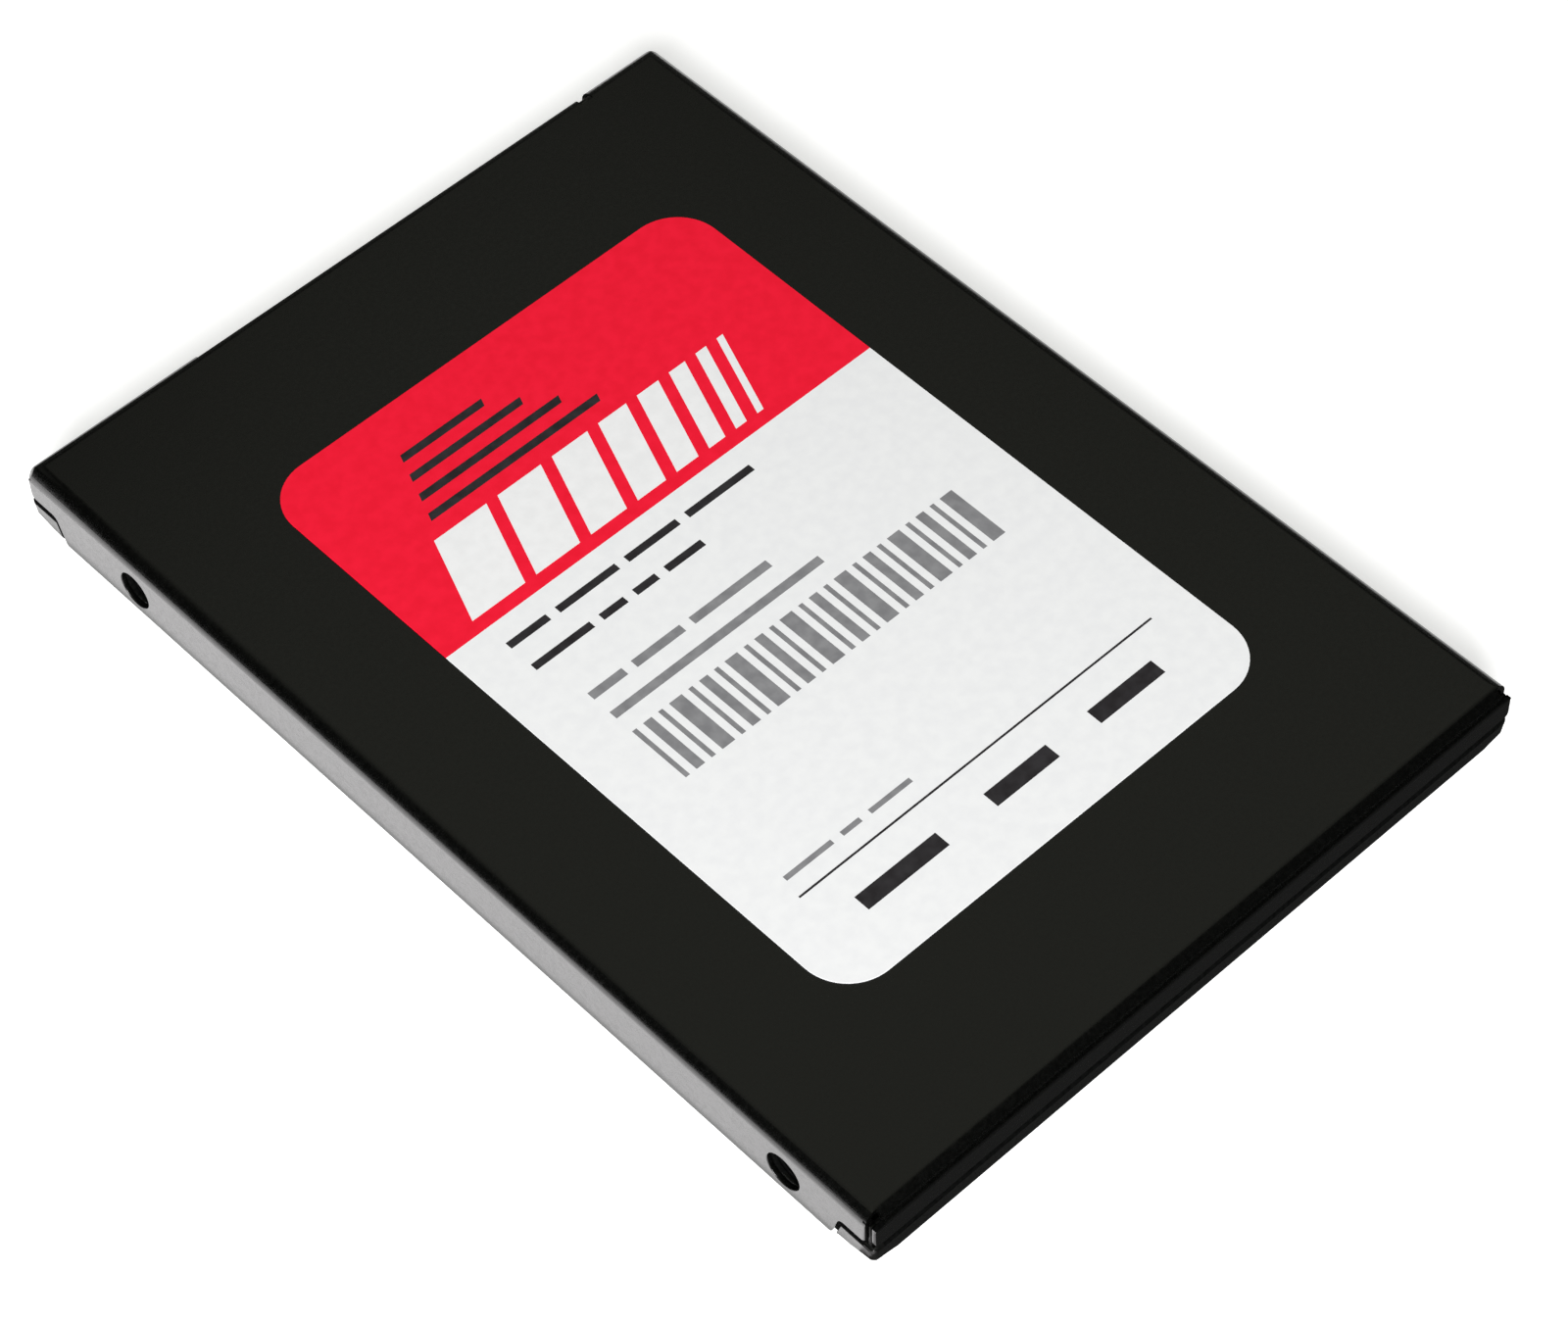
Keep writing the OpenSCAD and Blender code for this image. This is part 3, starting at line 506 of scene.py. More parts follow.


# faces of the tray that line the seams under the cover's flanges, which get a dark dull finish as painted
# shade
def paintedShadeInSeam(face):
    p = face.calc_center_median() / mm
    if p.z > sheets["seamTop"] or p.y < sheets["openY"] and abs(p.x) > sheets["openX"]:
        return False
    outer = abs(p.x) > sheets["stripX"] or abs(p.y) > sheets["stripY"]
    atStep = abs(p.y) < sheets["stepY"] and abs(face.normal.y) > sheets["stepLean"]
    onShoulder = p.z > sheets["shoulder"] and face.normal.z > sheets["shoulderLean"]
    return atStep or onShoulder or not outer and p.z > sheets["stripLow"]


def bothSides(half, cuts):
    return [s * (half - c) for c in cuts for s in (-1, 1)]


cover = cadShape("top_cover", sheets["holeYs"] + sheets["farCuts"])
soften(cover, sheets["edge"], sheets["softFrom"], tightCoverCorner)
bluntTips(cover)
cover.normal_update()
# notch and relief faces take the dark dull finish as painted shade
for face in cover.faces:
    face.material_index = 1 if paintedShadeInNotch(face) else 0
softBlock(cover, sheets["slotLow"], sheets["slotHigh"], sheets["slotEdge"])
replaceNode("coverShell", "top_cover", cover, ["coverPaint", "paintedShadeBlack"])

trayYs = sheets["holeYs"] + sheets["postYs"] + tuple(bothSides(sheets["halfY"], sheets["footCuts"]))
tray = cadShape("base_tray", trayYs, bothSides(sheets["halfX"], sheets["footCuts"]), [sheets["seamTop"]])
soften(tray, sheets["edge"], sheets["softFrom"], tightTrayCorner)
roundTrayFeet(tray)
tray.normal_update()
# seam faces take the dark dull finish as painted shade
for face in tray.faces:
    face.material_index = 1 if paintedShadeInSeam(face) else 0
# ribs in the far corner gaps take the dimmed copy of the tray paint as painted shade
for side in (-1, 1):
    softBlock(tray, sheets["ribLow"], sheets["ribHigh"], sheets["ribEdge"], 2,
              lambda x, y, z: inPlace(side * x, y, z))
replaceNode("trayShell", "base_tray", tray, ["trayPaint", "paintedShadeBlack", "trayPaintShade"])
print("sheets: cover and tray")


# label: one film in two colours with plain printed bars

labelPrint = {
    "parting": 10.57,          # where red meets white
    "inkLift": 0.004, "filmEdge": 0.025, "softFrom": 40,
    "ruleY": -25.6, "ruleLeft": -19.0, "ruleRight": 19.5, "ruleThick": 0.2,
    "slantStart": -19.2, "slantLow": 11.9, "slantHigh": 20.3, "slantLean": 3.2, "slantGap": 1.2,
    "slantWidths": (5.6, 4.7, 3.9, 3.1, 2.4, 1.8, 1.2, 0.7),
    "pinLeft": -14.8, "pinLow": 22.0, "pinStep": 2.1, "pinThick": 0.8, "pinLengths": (18.4, 15.2, 12.0, 8.8),
    "wordRows": (  # left end, middle, height and the lengths of the bars
        (-18.8, 8.0, 0.75, (4.2, 6.4, 5.6, 7.2)),
        (-18.8, 5.0, 0.75, (6.2, 2.6, 2.4, 4.0)),
        (-17.5, -0.3, 0.85, (3.6, 5.2, 8.4)),
        (-17.5, -2.9, 0.85, (22.5,)),
        (-18.6, -23.6, 0.5, (5.0, 2.0, 4.4)),
    ),
    "wordGap": 1.0, "darkAbove": 2.0,  # words above this line are dark
    "stripeLeft": -17.5, "stripeRight": 16.3, "stripeLow": -11.3, "stripeHigh": -5.1,
    "stripeWidths": (0.45, 0.9, 0.45, 1.35), "stripeGap": 0.7,
    "footBars": ((-16.0, -7.4), (-2.2, 4.6), (9.2, 16.4)), "footLow": -30.1, "footHigh": -28.5,
}


def printBar(bm, left, right, low, high, topZ, liftMm, look, lean=0.0):
    corners = ((left, low), (right, low), (right + lean, high), (left + lean, high))
    hull(bm, [Vector((x * mm, y * mm, topZ - drop * mm)) for x, y in corners for drop in (0, liftMm)], look)


def makeLabel():
    lp = labelPrint
    film = cadShape("top_label")
    topZ = max(v.co.z for v in film.verts)
    for v in film.verts:
        if v.co.z > topZ - meshing["topNear"]:
            v.co.z = topZ - lp["inkLift"] * mm
    soften(film, lp["filmEdge"], lp["softFrom"])
    bmesh.ops.bisect_plane(film, geom=everything(film), plane_co=inPlace(0, lp["parting"], 0),
                           plane_no=(0, 1, 0))
    for face in film.faces:
        face.material_index = 1 if face.calc_center_median().y > lp["parting"] * mm else 0
    replaceNode("labelFilm", "top_label", film, ["labelWhite", "labelRed"])

    ink = bmesh.new()
    lift = lp["inkLift"]
    dark, grey, white = 0, 1, 2
    lean = lp["slantLean"] / (lp["slantHigh"] - lp["slantLow"])
    left = lp["slantStart"]
    for width in lp["slantWidths"]:
        printBar(ink, left, left + width, lp["slantLow"], lp["slantHigh"], topZ, lift, white, lp["slantLean"])
        left += width + lp["slantGap"]
    for i, length in enumerate(lp["pinLengths"]):
        low = lp["pinLow"] + i * lp["pinStep"]
        left = lp["pinLeft"] + i * lp["pinStep"] * lean
        printBar(ink, left, left + length, low, low + lp["pinThick"], topZ, lift, dark, lp["pinThick"] * lean)
    for start, middle, height, lengths in lp["wordRows"]:
        left = start
        look = dark if middle > lp["darkAbove"] else grey
        for length in lengths:
            printBar(ink, left, left + length, middle - height / 2, middle + height / 2, topZ, lift, look)
            left += length + lp["wordGap"]
    left, i = lp["stripeLeft"], 0
    while left < lp["stripeRight"]:
        width = lp["stripeWidths"][i % len(lp["stripeWidths"])]
        printBar(ink, left, left + width, lp["stripeLow"], lp["stripeHigh"], topZ, lift, grey)
        left += width + lp["stripeGap"]
        i += 1
    printBar(ink, lp["ruleLeft"], lp["ruleRight"], lp["ruleY"] - lp["ruleThick"] / 2,
             lp["ruleY"] + lp["ruleThick"] / 2, topZ, lift, dark)
    for left, right in lp["footBars"]:
        printBar(ink, left, right, lp["footLow"], lp["footHigh"], topZ, lift, dark)
    tidyFlats(ink)
    addPiece("labelInk", ink, ["inkDark", "inkGrey", "inkWhite"], "cover", "label_film")


makeLabel()
print("label: film and print")


# mounting nuts with their threads

nutThread = {
    "bore": 1.25, "root": 1.47, "pitch": 0.5, "edge": 0.1, "sideZ": 3.0, "footX": 30.86, "reach": 3.5,
}


def makeNuts():
    nt = nutThread
    low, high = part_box("mounting_nuts")
    bm = cadShape("mounting_nuts", sheets["holeYs"])
    threads = []
    for y in sheets["holeYs"]:
        for side in (-1, 1):
            mouth = Vector((high.x if side > 0 else low.x, y * mm, nt["sideZ"] * mm))
            foot = Vector((side * nt["footX"] * mm, y * mm, low.z))
            for start, inward in ((mouth, Vector((-side, 0, 0))), (foot, Vector((0, 0, 1)))):
                first, last = dropRoundWall(bm, start, inward, nt["bore"], nt["reach"])
                threads.append((start + inward * first * mm, inward, last - first))
    soften(bm, nt["edge"])
    for start, inward, length in threads:
        thread(bm, start, inward, nt["bore"], nt["root"], nt["pitch"], length)
    replaceNode("mountingNuts", "mounting_nuts", bm, ["nutBlackShade"])


makeNuts()
print("mounting nuts")


# screws and posts

screwKinds = {
    "case_screws": {"name": "caseScrews", "look": "screwBlack", "shaft": 0.9, "root": 0.74, "pitch": 0.4,
                    "edge": 0.1, "past": 0.1},
    "board_screws": {"name": "boardScrews", "look": "screwNickel", "shaft": 0.8, "root": 0.64, "pitch": 0.35,
                     "edge": 0.1, "past": 0.1},
}
postKinds = {
    "cover_posts": {"name": "coverPosts", "look": "postSteel", "edge": 0.14},
    "board_posts": {"name": "boardPosts", "look": "postBrass", "edge": 0.12},
}


def makeScrews(node, kind):
    up = Vector((0, 0, 1))
    boxes = islands(node)
    bm = cadShape(node, rowYs(boxes))
    threads = []
    for low, high in boxes:
        start = Vector(((low.x + high.x) / 2, (low.y + high.y) / 2, low.z))
        first, last = dropRoundWall(bm, start, up, kind["shaft"], (high.z - low.z) / mm + kind["past"])
        threads.append((start + Vector((0, 0, first * mm)), last - first))
    soften(bm, kind["edge"])
    for start, length in threads:
        thread(bm, start, up, kind["shaft"], kind["root"], kind["pitch"], length)
    replaceNode(kind["name"], node, bm, [kind["look"]])


for node, kind in screwKinds.items():
    makeScrews(node, kind)
for node, kind in postKinds.items():
    softenedNode(node, kind, rowYs(islands(node)))
print("screws and posts")


# drive plug

plugKinds = {
    "plug_housing": {"name": "plugHousing", "look": "plugBlack", "edge": 0.07},
    "power_contacts": {"name": "powerContacts", "look": "contactGold", "edge": 0.03},
    "signal_contacts": {"name": "signalContacts", "look": "contactGold", "edge": 0.03},
    "plug_tabs": {"name": "plugTabs", "look": "solderTin", "edge": 0.04},
}
for node, kind in plugKinds.items():
    softenedNode(node, kind)
print("drive plug")


# parts on the board, each set down on the face it stands on

boardLow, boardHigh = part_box("main_board")
seatNear = 0.1  # a part stands on top unless its middle is further below the board's top than this


def standing(box):
    low, high = box
    middle = (low + high) / 2
    up = 1 if middle.z > boardHigh.z - mm * seatNear else -1
    seat = boardHigh.z if up > 0 else boardLow.z

    def place(x, y, h):
        return Vector((middle.x + x * mm, middle.y + y * mm, seat + up * h * mm))

    size = (high - low) / mm
    return place, size.x / 2, size.y / 2, size.z


# the same place seen from one side: out from the body, across, up
def sideOf(place, axis, sign, half, along):
    if axis == "x":
        return lambda out, across, h: place(sign * (half + out), along + across, h)
    return lambda out, across, h: place(along + across, sign * (half + out), h)


# which way a part is long, with half its length and half its width
def longWay(halfX, halfY):
    axis = "x" if halfX > halfY else "y"
    return axis, max(halfX, halfY), min(halfX, halfY)


def mouldedBody(bm, place, halfX, halfY, low, high, parting, draft, look):
    soft = 0.04
    rings = ((draft + soft, low), (draft, low + soft), (0, parting),
             (draft, high - soft), (draft + soft, high))
    points = []
    for inset, h in rings:
        x, y = halfX - inset, halfY - inset
        for sx in (-1, 1):
            for sy in (-1, 1):
                points += [place(sx * (x - soft), sy * y, h), place(sx * x, sy * (y - soft), h)]
    hull(bm, points, look)


# a dot in the corner of a chip
def cornerDot(bm, form, place, halfX, halfY, low, high, look):
    inset = form["dotInset"]
    disc(bm, -halfX + inset, halfY - inset, low - form["dotDeep"], high, form["dot"], form["dotSides"],
         look, place)


gullChip = {
    "standoff": 0.1, "draft": 0.09, "parting": 0.5, "lift": 0.004,
    "dot": 0.45, "dotInset": 1.2, "dotDeep": 0.05, "dotSides": 24,
    "padThick": 0.02, "padPast": 0.15, "padShare": 0.6,
    # bends of a lead: shares of its run, drops and heights
    "rootOut": -0.15, "shoulderAt": 0.45, "kneeAt": 0.75, "kneeDrop": 0.07, "shinAt": 0.9, "shinHigh": 0.5,
    "ankleHigh": 1.2, "toe": 0.1,
}
# half the body's width is given where the box takes in the leads
flashLeads = {"half": None, "count": 24, "pitch": 0.5, "wide": 0.22, "thick": 0.13, "out": 0.8, "foot": 0.45}
bootLeads = {"half": 2.0, "count": 4, "pitch": 1.27, "wide": 0.42, "thick": 0.2, "out": 0.95, "foot": 0.5}


def gullWingChip(name, node, leads):
    gc = gullChip
    bm = bmesh.new()
    place, halfX, halfY, tall = standing(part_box(node))
    halfX = leads["half"] or halfX
    parting = tall * gc["parting"]
    top = tall - gc["lift"]
    mouldedBody(bm, place, halfX, halfY, gc["standoff"], top, parting, gc["draft"], 0)
    cornerDot(bm, gc, place, halfX, halfY, top, tall, 2)
    out, wide, thick, count = leads["out"], leads["wide"], leads["thick"], leads["count"]
    bend = out - leads["foot"]
    soleZ = gc["padThick"] + thick / 2
    path = ((gc["rootOut"], parting), (bend * gc["shoulderAt"], parting),
            (bend * gc["kneeAt"], parting - gc["kneeDrop"]), (bend * gc["shinAt"], parting * gc["shinHigh"]),
            (bend, gc["padThick"] + thick * gc["ankleHigh"]), (bend + gc["toe"], soleZ), (out, soleZ))
    for sign in (-1, 1):
        for i in range(count):
            side = sideOf(place, "x", sign, halfX, (i - (count - 1) / 2) * leads["pitch"])
            ribbon(bm, path, wide, thick, 1, side)
            flatBlock(bm, (bend - gc["padPast"], -wide * gc["padShare"], 0),
                      (out + gc["padPast"], wide * gc["padShare"], gc["padThick"]), 1, side)
    tidyFlats(bm)
    replaceNode(name, node, bm, ["chipBlack", "solderTin", "chipMark"])


for i in range(1, 9):
    gullWingChip(f"memoryChip{i}", f"memory_chip_{i}", flashLeads)
gullWingChip("bootChip", "boot_chip", bootLeads)

ballChip = {
    "ball": 0.22, "ballSides": 8, "pitch": 0.8, "rows": 2, "margin": 0.6, "gap": 0.28,
    "carrier": 0.3, "carrierEdge": 0.02, "capInset": 0.3, "capParting": 0.05, "capDraft": 0.06, "lift": 0.004,
    "dot": 0.4, "dotInset": 1.3, "dotDeep": 0.05, "dotSides": 24,
}


def ballGridChip(name, node):
    bc = ballChip
    bm = bmesh.new()
    place, halfX, halfY, tall = standing(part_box(node))
    gap, pitch = bc["gap"], bc["pitch"]
    seat = gap + bc["carrier"]
    softBlock(bm, (-halfX, -halfY, gap), (halfX, halfY, seat), bc["carrierEdge"], 1, place)
    mouldedBody(bm, place, halfX - bc["capInset"], halfY - bc["capInset"], seat, tall - bc["lift"],
                seat + bc["capParting"], bc["capDraft"], 0)
    cornerDot(bm, bc, place, halfX, halfY, tall, tall, 3)
    across, along = [int((2 * half - bc["margin"]) / pitch) for half in (halfX, halfY)]
    for i in range(across + 1):
        for j in range(along + 1):
            if min(i, j, across - i, along - j) < bc["rows"]:
                disc(bm, (i - across / 2) * pitch, (j - along / 2) * pitch, 0, gap, bc["ball"],
                     bc["ballSides"], 2, place)
    tidyFlats(bm)
    replaceNode(name, node, bm, ["chipBlack", "maskGreen", "solderTin", "chipMark"])


ballGridChip("controllerChip", "controller_chip")
ballGridChip("cacheChip", "cache_chip")
print("chips")

smallParts = {
    "pad": 0.02, "padOut": 0.06, "padOver": 0.08, "endShare": 0.24, "endOver": 0.015, "edge": 0.04,
    "fillet": 0.22, "filletIn": -0.02, "filletHigh": 0.6, "bellyOut": 0.06, "bellyHigh": 0.25,
    "bodyLift": 0.03, "bodyEdge": 0.015, "bodyMeet": 0.01, "bodyLap": 0.02, "topInset": 0.03, "topLift": 0.01,
}


# a brick with a soldered end at each side, long the way its box is long
def endedBricks(name, node, bodyLook, topLook):
    sp = smallParts
    pad, fillet, over = sp["pad"], sp["fillet"], sp["endOver"]
    bm = bmesh.new()
    for box in islands(node):
        place, halfX, halfY, tall = standing(box)
        axis, half, wide = longWay(halfX, halfY)
        deep = 2 * half * sp["endShare"]
        solder = ((sp["filletIn"], pad), (sp["filletIn"], tall * sp["filletHigh"]), (fillet, pad),
                  (sp["bellyOut"], tall * sp["bellyHigh"]))
        for sign in (-1, 1):
            side = sideOf(place, axis, sign, half, 0)
            softBlock(bm, (-deep, -wide, pad), (0, wide, tall), sp["edge"], 1, side)
            hull(bm, [side(out, across, h) for out, h in solder for across in (-wide, wide)], 1)
            flatBlock(bm, (-deep, -wide - sp["padOver"], 0),
                      (fillet + sp["padOut"], wide + sp["padOver"], pad), 1, side)
            softBlock(bm, (-half - sp["bodyMeet"], -wide + over, pad + sp["bodyLift"]),
                      (-deep + sp["bodyLap"], wide - over, tall - over), sp["bodyEdge"], 0, side)
            if topLook:
                inner = wide - sp["topInset"]
                flatBlock(bm, (-half - sp["bodyMeet"], -inner, tall - over),
                          (-deep - sp["bodyLap"], inner, tall - over + sp["topLift"]), 2, side)
    tidyFlats(bm)
    looks = [bodyLook, "solderTin"] + ([topLook] if topLook else [])
    replaceNode(name, node, bm, looks)


endedBricks("ceramicCapacitors", "ceramic_capacitors", "ceramicTan", None)
endedBricks("chipResistors", "chip_resistors", "ceramicWhite", "chipBlack")

inductor = {
    "edge": 0.12, "plate": 1.5, "plateThick": 0.02, "plateSides": 32,
    "endIn": 0.3, "endOut": 0.05, "endShare": 0.62, "endFoot": 0.01, "endHigh": 0.45, "endEdge": 0.04,
    "padIn": 0.5, "padOut": 0.35, "padShare": 0.7, "padThick": 0.02,
}
bulkCapacitor = {
    "standoff": 0.1, "lift": 0.01, "parting": 0.45, "draft": 0.1,
    "bandIn": 0.3, "bandWide": 0.55, "bandInset": 0.14, "bandThick": 0.02,
    "endIn": 0.5, "endOut": 0.06, "endShare": 0.75, "endFoot": 0.01, "endHigh": 0.42, "endEdge": 0.03,
    "padIn": 0.8, "padOut": 0.4, "padShare": 0.85, "padThick": 0.02,
}


# soldered ends and the pads under them
def solderedEnds(bm, form, place, axis, half, wide, tall):
    for sign in (-1, 1):
        side = sideOf(place, axis, sign, half, 0)
        softBlock(bm, (-form["endIn"], -wide * form["endShare"], form["endFoot"]),
                  (form["endOut"], wide * form["endShare"], tall * form["endHigh"]), form["endEdge"], 1, side)
        flatBlock(bm, (-form["padIn"], -wide * form["padShare"], 0),
                  (form["padOut"], wide * form["padShare"], form["padThick"]), 1, side)


def makeInductors():
    ind = inductor
    bm = cadShape("inductors")
    soften(bm, ind["edge"])
    for box in islands("inductors"):
        place, halfX, halfY, tall = standing(box)
        disc(bm, 0, 0, tall - ind["plateThick"], tall, ind["plate"], ind["plateSides"], 2, place)
        solderedEnds(bm, ind, place, "y", halfY, halfX, tall)
    replaceNode("powerInductors", "inductors", bm, ["ferriteGrey", "solderTin", "chipBlack"])


def makeBulkCapacitors():
    bc = bulkCapacitor
    bm = bmesh.new()
    for box in islands("bulk_capacitors"):
        place, halfX, halfY, tall = standing(box)
        mouldedBody(bm, place, halfX, halfY, bc["standoff"], tall - bc["lift"], tall * bc["parting"],
                    bc["draft"], 0)
        axis, half, wide = longWay(halfX, halfY)
        solderedEnds(bm, bc, place, axis, half, wide, tall)
        flatBlock(bm, (-bc["bandIn"] - bc["bandWide"], -wide + bc["bandInset"], tall - bc["bandThick"]),
                  (-bc["bandIn"], wide - bc["bandInset"], tall), 2, sideOf(place, axis, 1, half, 0))
    tidyFlats(bm)
    replaceNode("bulkCapacitors", "bulk_capacitors", bm, ["bulkTan", "solderTin", "bulkBand"])


regulator = {
    "foot": 0.02, "lift": 0.004, "edge": 0.03, "dot": 0.18, "dotInset": 0.5, "dotDeep": 0.05, "dotSides": 16,
    "leads": 4, "pitch": 0.6, "leadIn": 0.3, "leadOut": 0.012, "leadHalf": 0.13, "leadHigh": 0.2,
    "padIn": 0.1, "padOut": 0.25, "padHalf": 0.16, "padThick": 0.02,
}


def makeRegulators():
    rg = regulator
    bm = bmesh.new()
    for box in islands("regulator_chips"):
        place, halfX, halfY, tall = standing(box)
        softBlock(bm, (-halfX, -halfY, rg["foot"]), (halfX, halfY, tall - rg["lift"]), rg["edge"], 0, place)
        cornerDot(bm, rg, place, halfX, halfY, tall, tall, 2)
        for axis, half in (("x", halfX), ("y", halfY)):
            for sign in (-1, 1):
                for i in range(rg["leads"]):
                    side = sideOf(place, axis, sign, half, (i - (rg["leads"] - 1) / 2) * rg["pitch"])
                    flatBlock(bm, (-rg["leadIn"], -rg["leadHalf"], 0),
                              (rg["leadOut"], rg["leadHalf"], rg["leadHigh"]), 1, side)
                    flatBlock(bm, (-rg["padIn"], -rg["padHalf"], 0),
                              (rg["padOut"], rg["padHalf"], rg["padThick"]), 1, side)
    tidyFlats(bm)
    replaceNode("regulatorChips", "regulator_chips", bm, ["chipBlack", "solderTin", "chipMark"])


crystal = {
    "foot": 0.03, "edge": 0.03, "rim": 0.55, "lidInset": 0.12, "lidParting": 0.6, "lidDraft": 0.05,
    "padFrom": 0.35, "padPast": 0.15, "padThick": 0.03,
}


def makeCrystal():
    cr = crystal
    bm = bmesh.new()
    place, halfX, halfY, tall = standing(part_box("clock_crystal"))
    rim = tall * cr["rim"]
    softBlock(bm, (-halfX, -halfY, cr["foot"]), (halfX, halfY, rim), cr["edge"], 0, place)
    mouldedBody(bm, place, halfX - cr["lidInset"], halfY - cr["lidInset"], rim, tall, tall * cr["lidParting"],
                cr["lidDraft"], 1)
    for sx in (-1, 1):
        for sy in (-1, 1):
            xs = sorted((sx * halfX * cr["padFrom"], sx * (halfX + cr["padPast"])))
            ys = sorted((sy * halfY * cr["padFrom"], sy * (halfY + cr["padPast"])))
            flatBlock(bm, (xs[0], ys[0], 0), (xs[1], ys[1], cr["padThick"]), 2, place)
    tidyFlats(bm)
    replaceNode("clockCrystal", "clock_crystal", bm, ["chipBlack", "canNickel", "contactGold"])


makeInductors()
makeBulkCapacitors()
makeRegulators()
makeCrystal()
print("power parts and small parts")


# soft and thin parts

softKinds = {
    "insulating_sheet": {"name": "insulatingSheet", "look": "filmAmber", "edge": 0.03},
    "thermal_pad": {"name": "thermalPad", "look": "padGrey", "edge": 0.2},
}
for node, kind in softKinds.items():
    softenedNode(node, kind)
print("soft and thin parts")


# circuit board: laminate, mask, tracks and pads

boardPlan = {
    "edge": 0.05, "maskLean": 0.5, "trackLift": 0.014, "padLift": 0.018, "trackWide": 0.2,
    "ringInner": 1.0, "ringOuter": 2.0, "ringSides": 40,
    # bus down the middle, with a branch to each side of it
    "busCount": 7, "busPitch": 0.38, "busFan": 0.9, "busTurn": 2.4, "busStagger": 0.25, "busStep": 1.5,
    "busUnder": 2, "branchOut": 1.35, "branchJog": 0.45, "branchRise": 5.2, "branchDrop": 0.4,
    "tuck": 0.2,  # how far a track runs in under its chip
    "cacheLines": 11, "cacheFirst": 0.9, "cachePitch": 1.02, "cacheIn": 0.3, "cacheRun": 1.4,
    "cacheJogs": (-0.3, 0.5),
    "pairLines": 4, "pairFirst": 4.2, "pairPitch": 0.55, "pairTurn": 3.6, "pairShift": 6.5,
    "pairStagger": 0.1, "pairWide": 0.16,
    "bootFirst": 1.9, "bootRun": 1.8, "bootReach": 4.4, "bootStagger": 0.3, "bootDrop": 2.6,
    "supplyOff": 1.7, "supplyLeft": 5.6, "supplyLeftWide": 1.1, "supplyRight": 6.5, "supplyRightWide": 1.3,
    "sideRuns": (  # width, face of the board, and points on its right-hand side
        (0.6, 1, ((30.6, -34), (30.6, 30))),
        (0.3, 1, ((29.4, -34), (29.4, 12), (26.6, 15), (26.6, 20))),
        (0.3, 1, ((28.8, -34), (28.8, 11.6), (26, 14.4), (26, 20))),
        (0.6, -1, ((30.6, -34), (30.6, 30))),
    ),
    "bareCount": 9, "bareFirst": -18, "barePitch": 4.4, "bareY": -29.5, "bareSteps": (-0.75, 0.75),
    "bareHalfX": 0.45, "bareHalfY": 0.4,
    "testCount": 6, "testFirst": -12, "testPitch": 4.8, "testTopY": -34.5, "testUnderY": -30.5,
    "testRadius": 0.55, "testSides": 20,
    "outlined": ("controller_chip", "cache_chip", "boot_chip", "clock_crystal"),
    "outlineOut": 0.55, "outlineThick": 0.16, "outlineArm": 0.45,
    # the dark disc in each via is painted shade for its bore
    "viaOuter": 0.27, "viaOuterSides": 12, "viaHoleShade": 0.13, "viaHoleShadeSides": 10, "viaProud": 0.001,
    "viaCount": 150, "viaSeed": 11, "viaClear": 1.05, "viaMargin": 1.5, "viaPlugMargin": 4,
    "viaIgnores": ("main_board", "base_tray", "top_cover", "top_label", "insulating_sheet"),
}


def centreOf(node):
    low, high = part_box(node)
    return (*middleOf((low, high)), (high.x - low.x) / 2 / mm, (high.y - low.y) / 2 / mm)


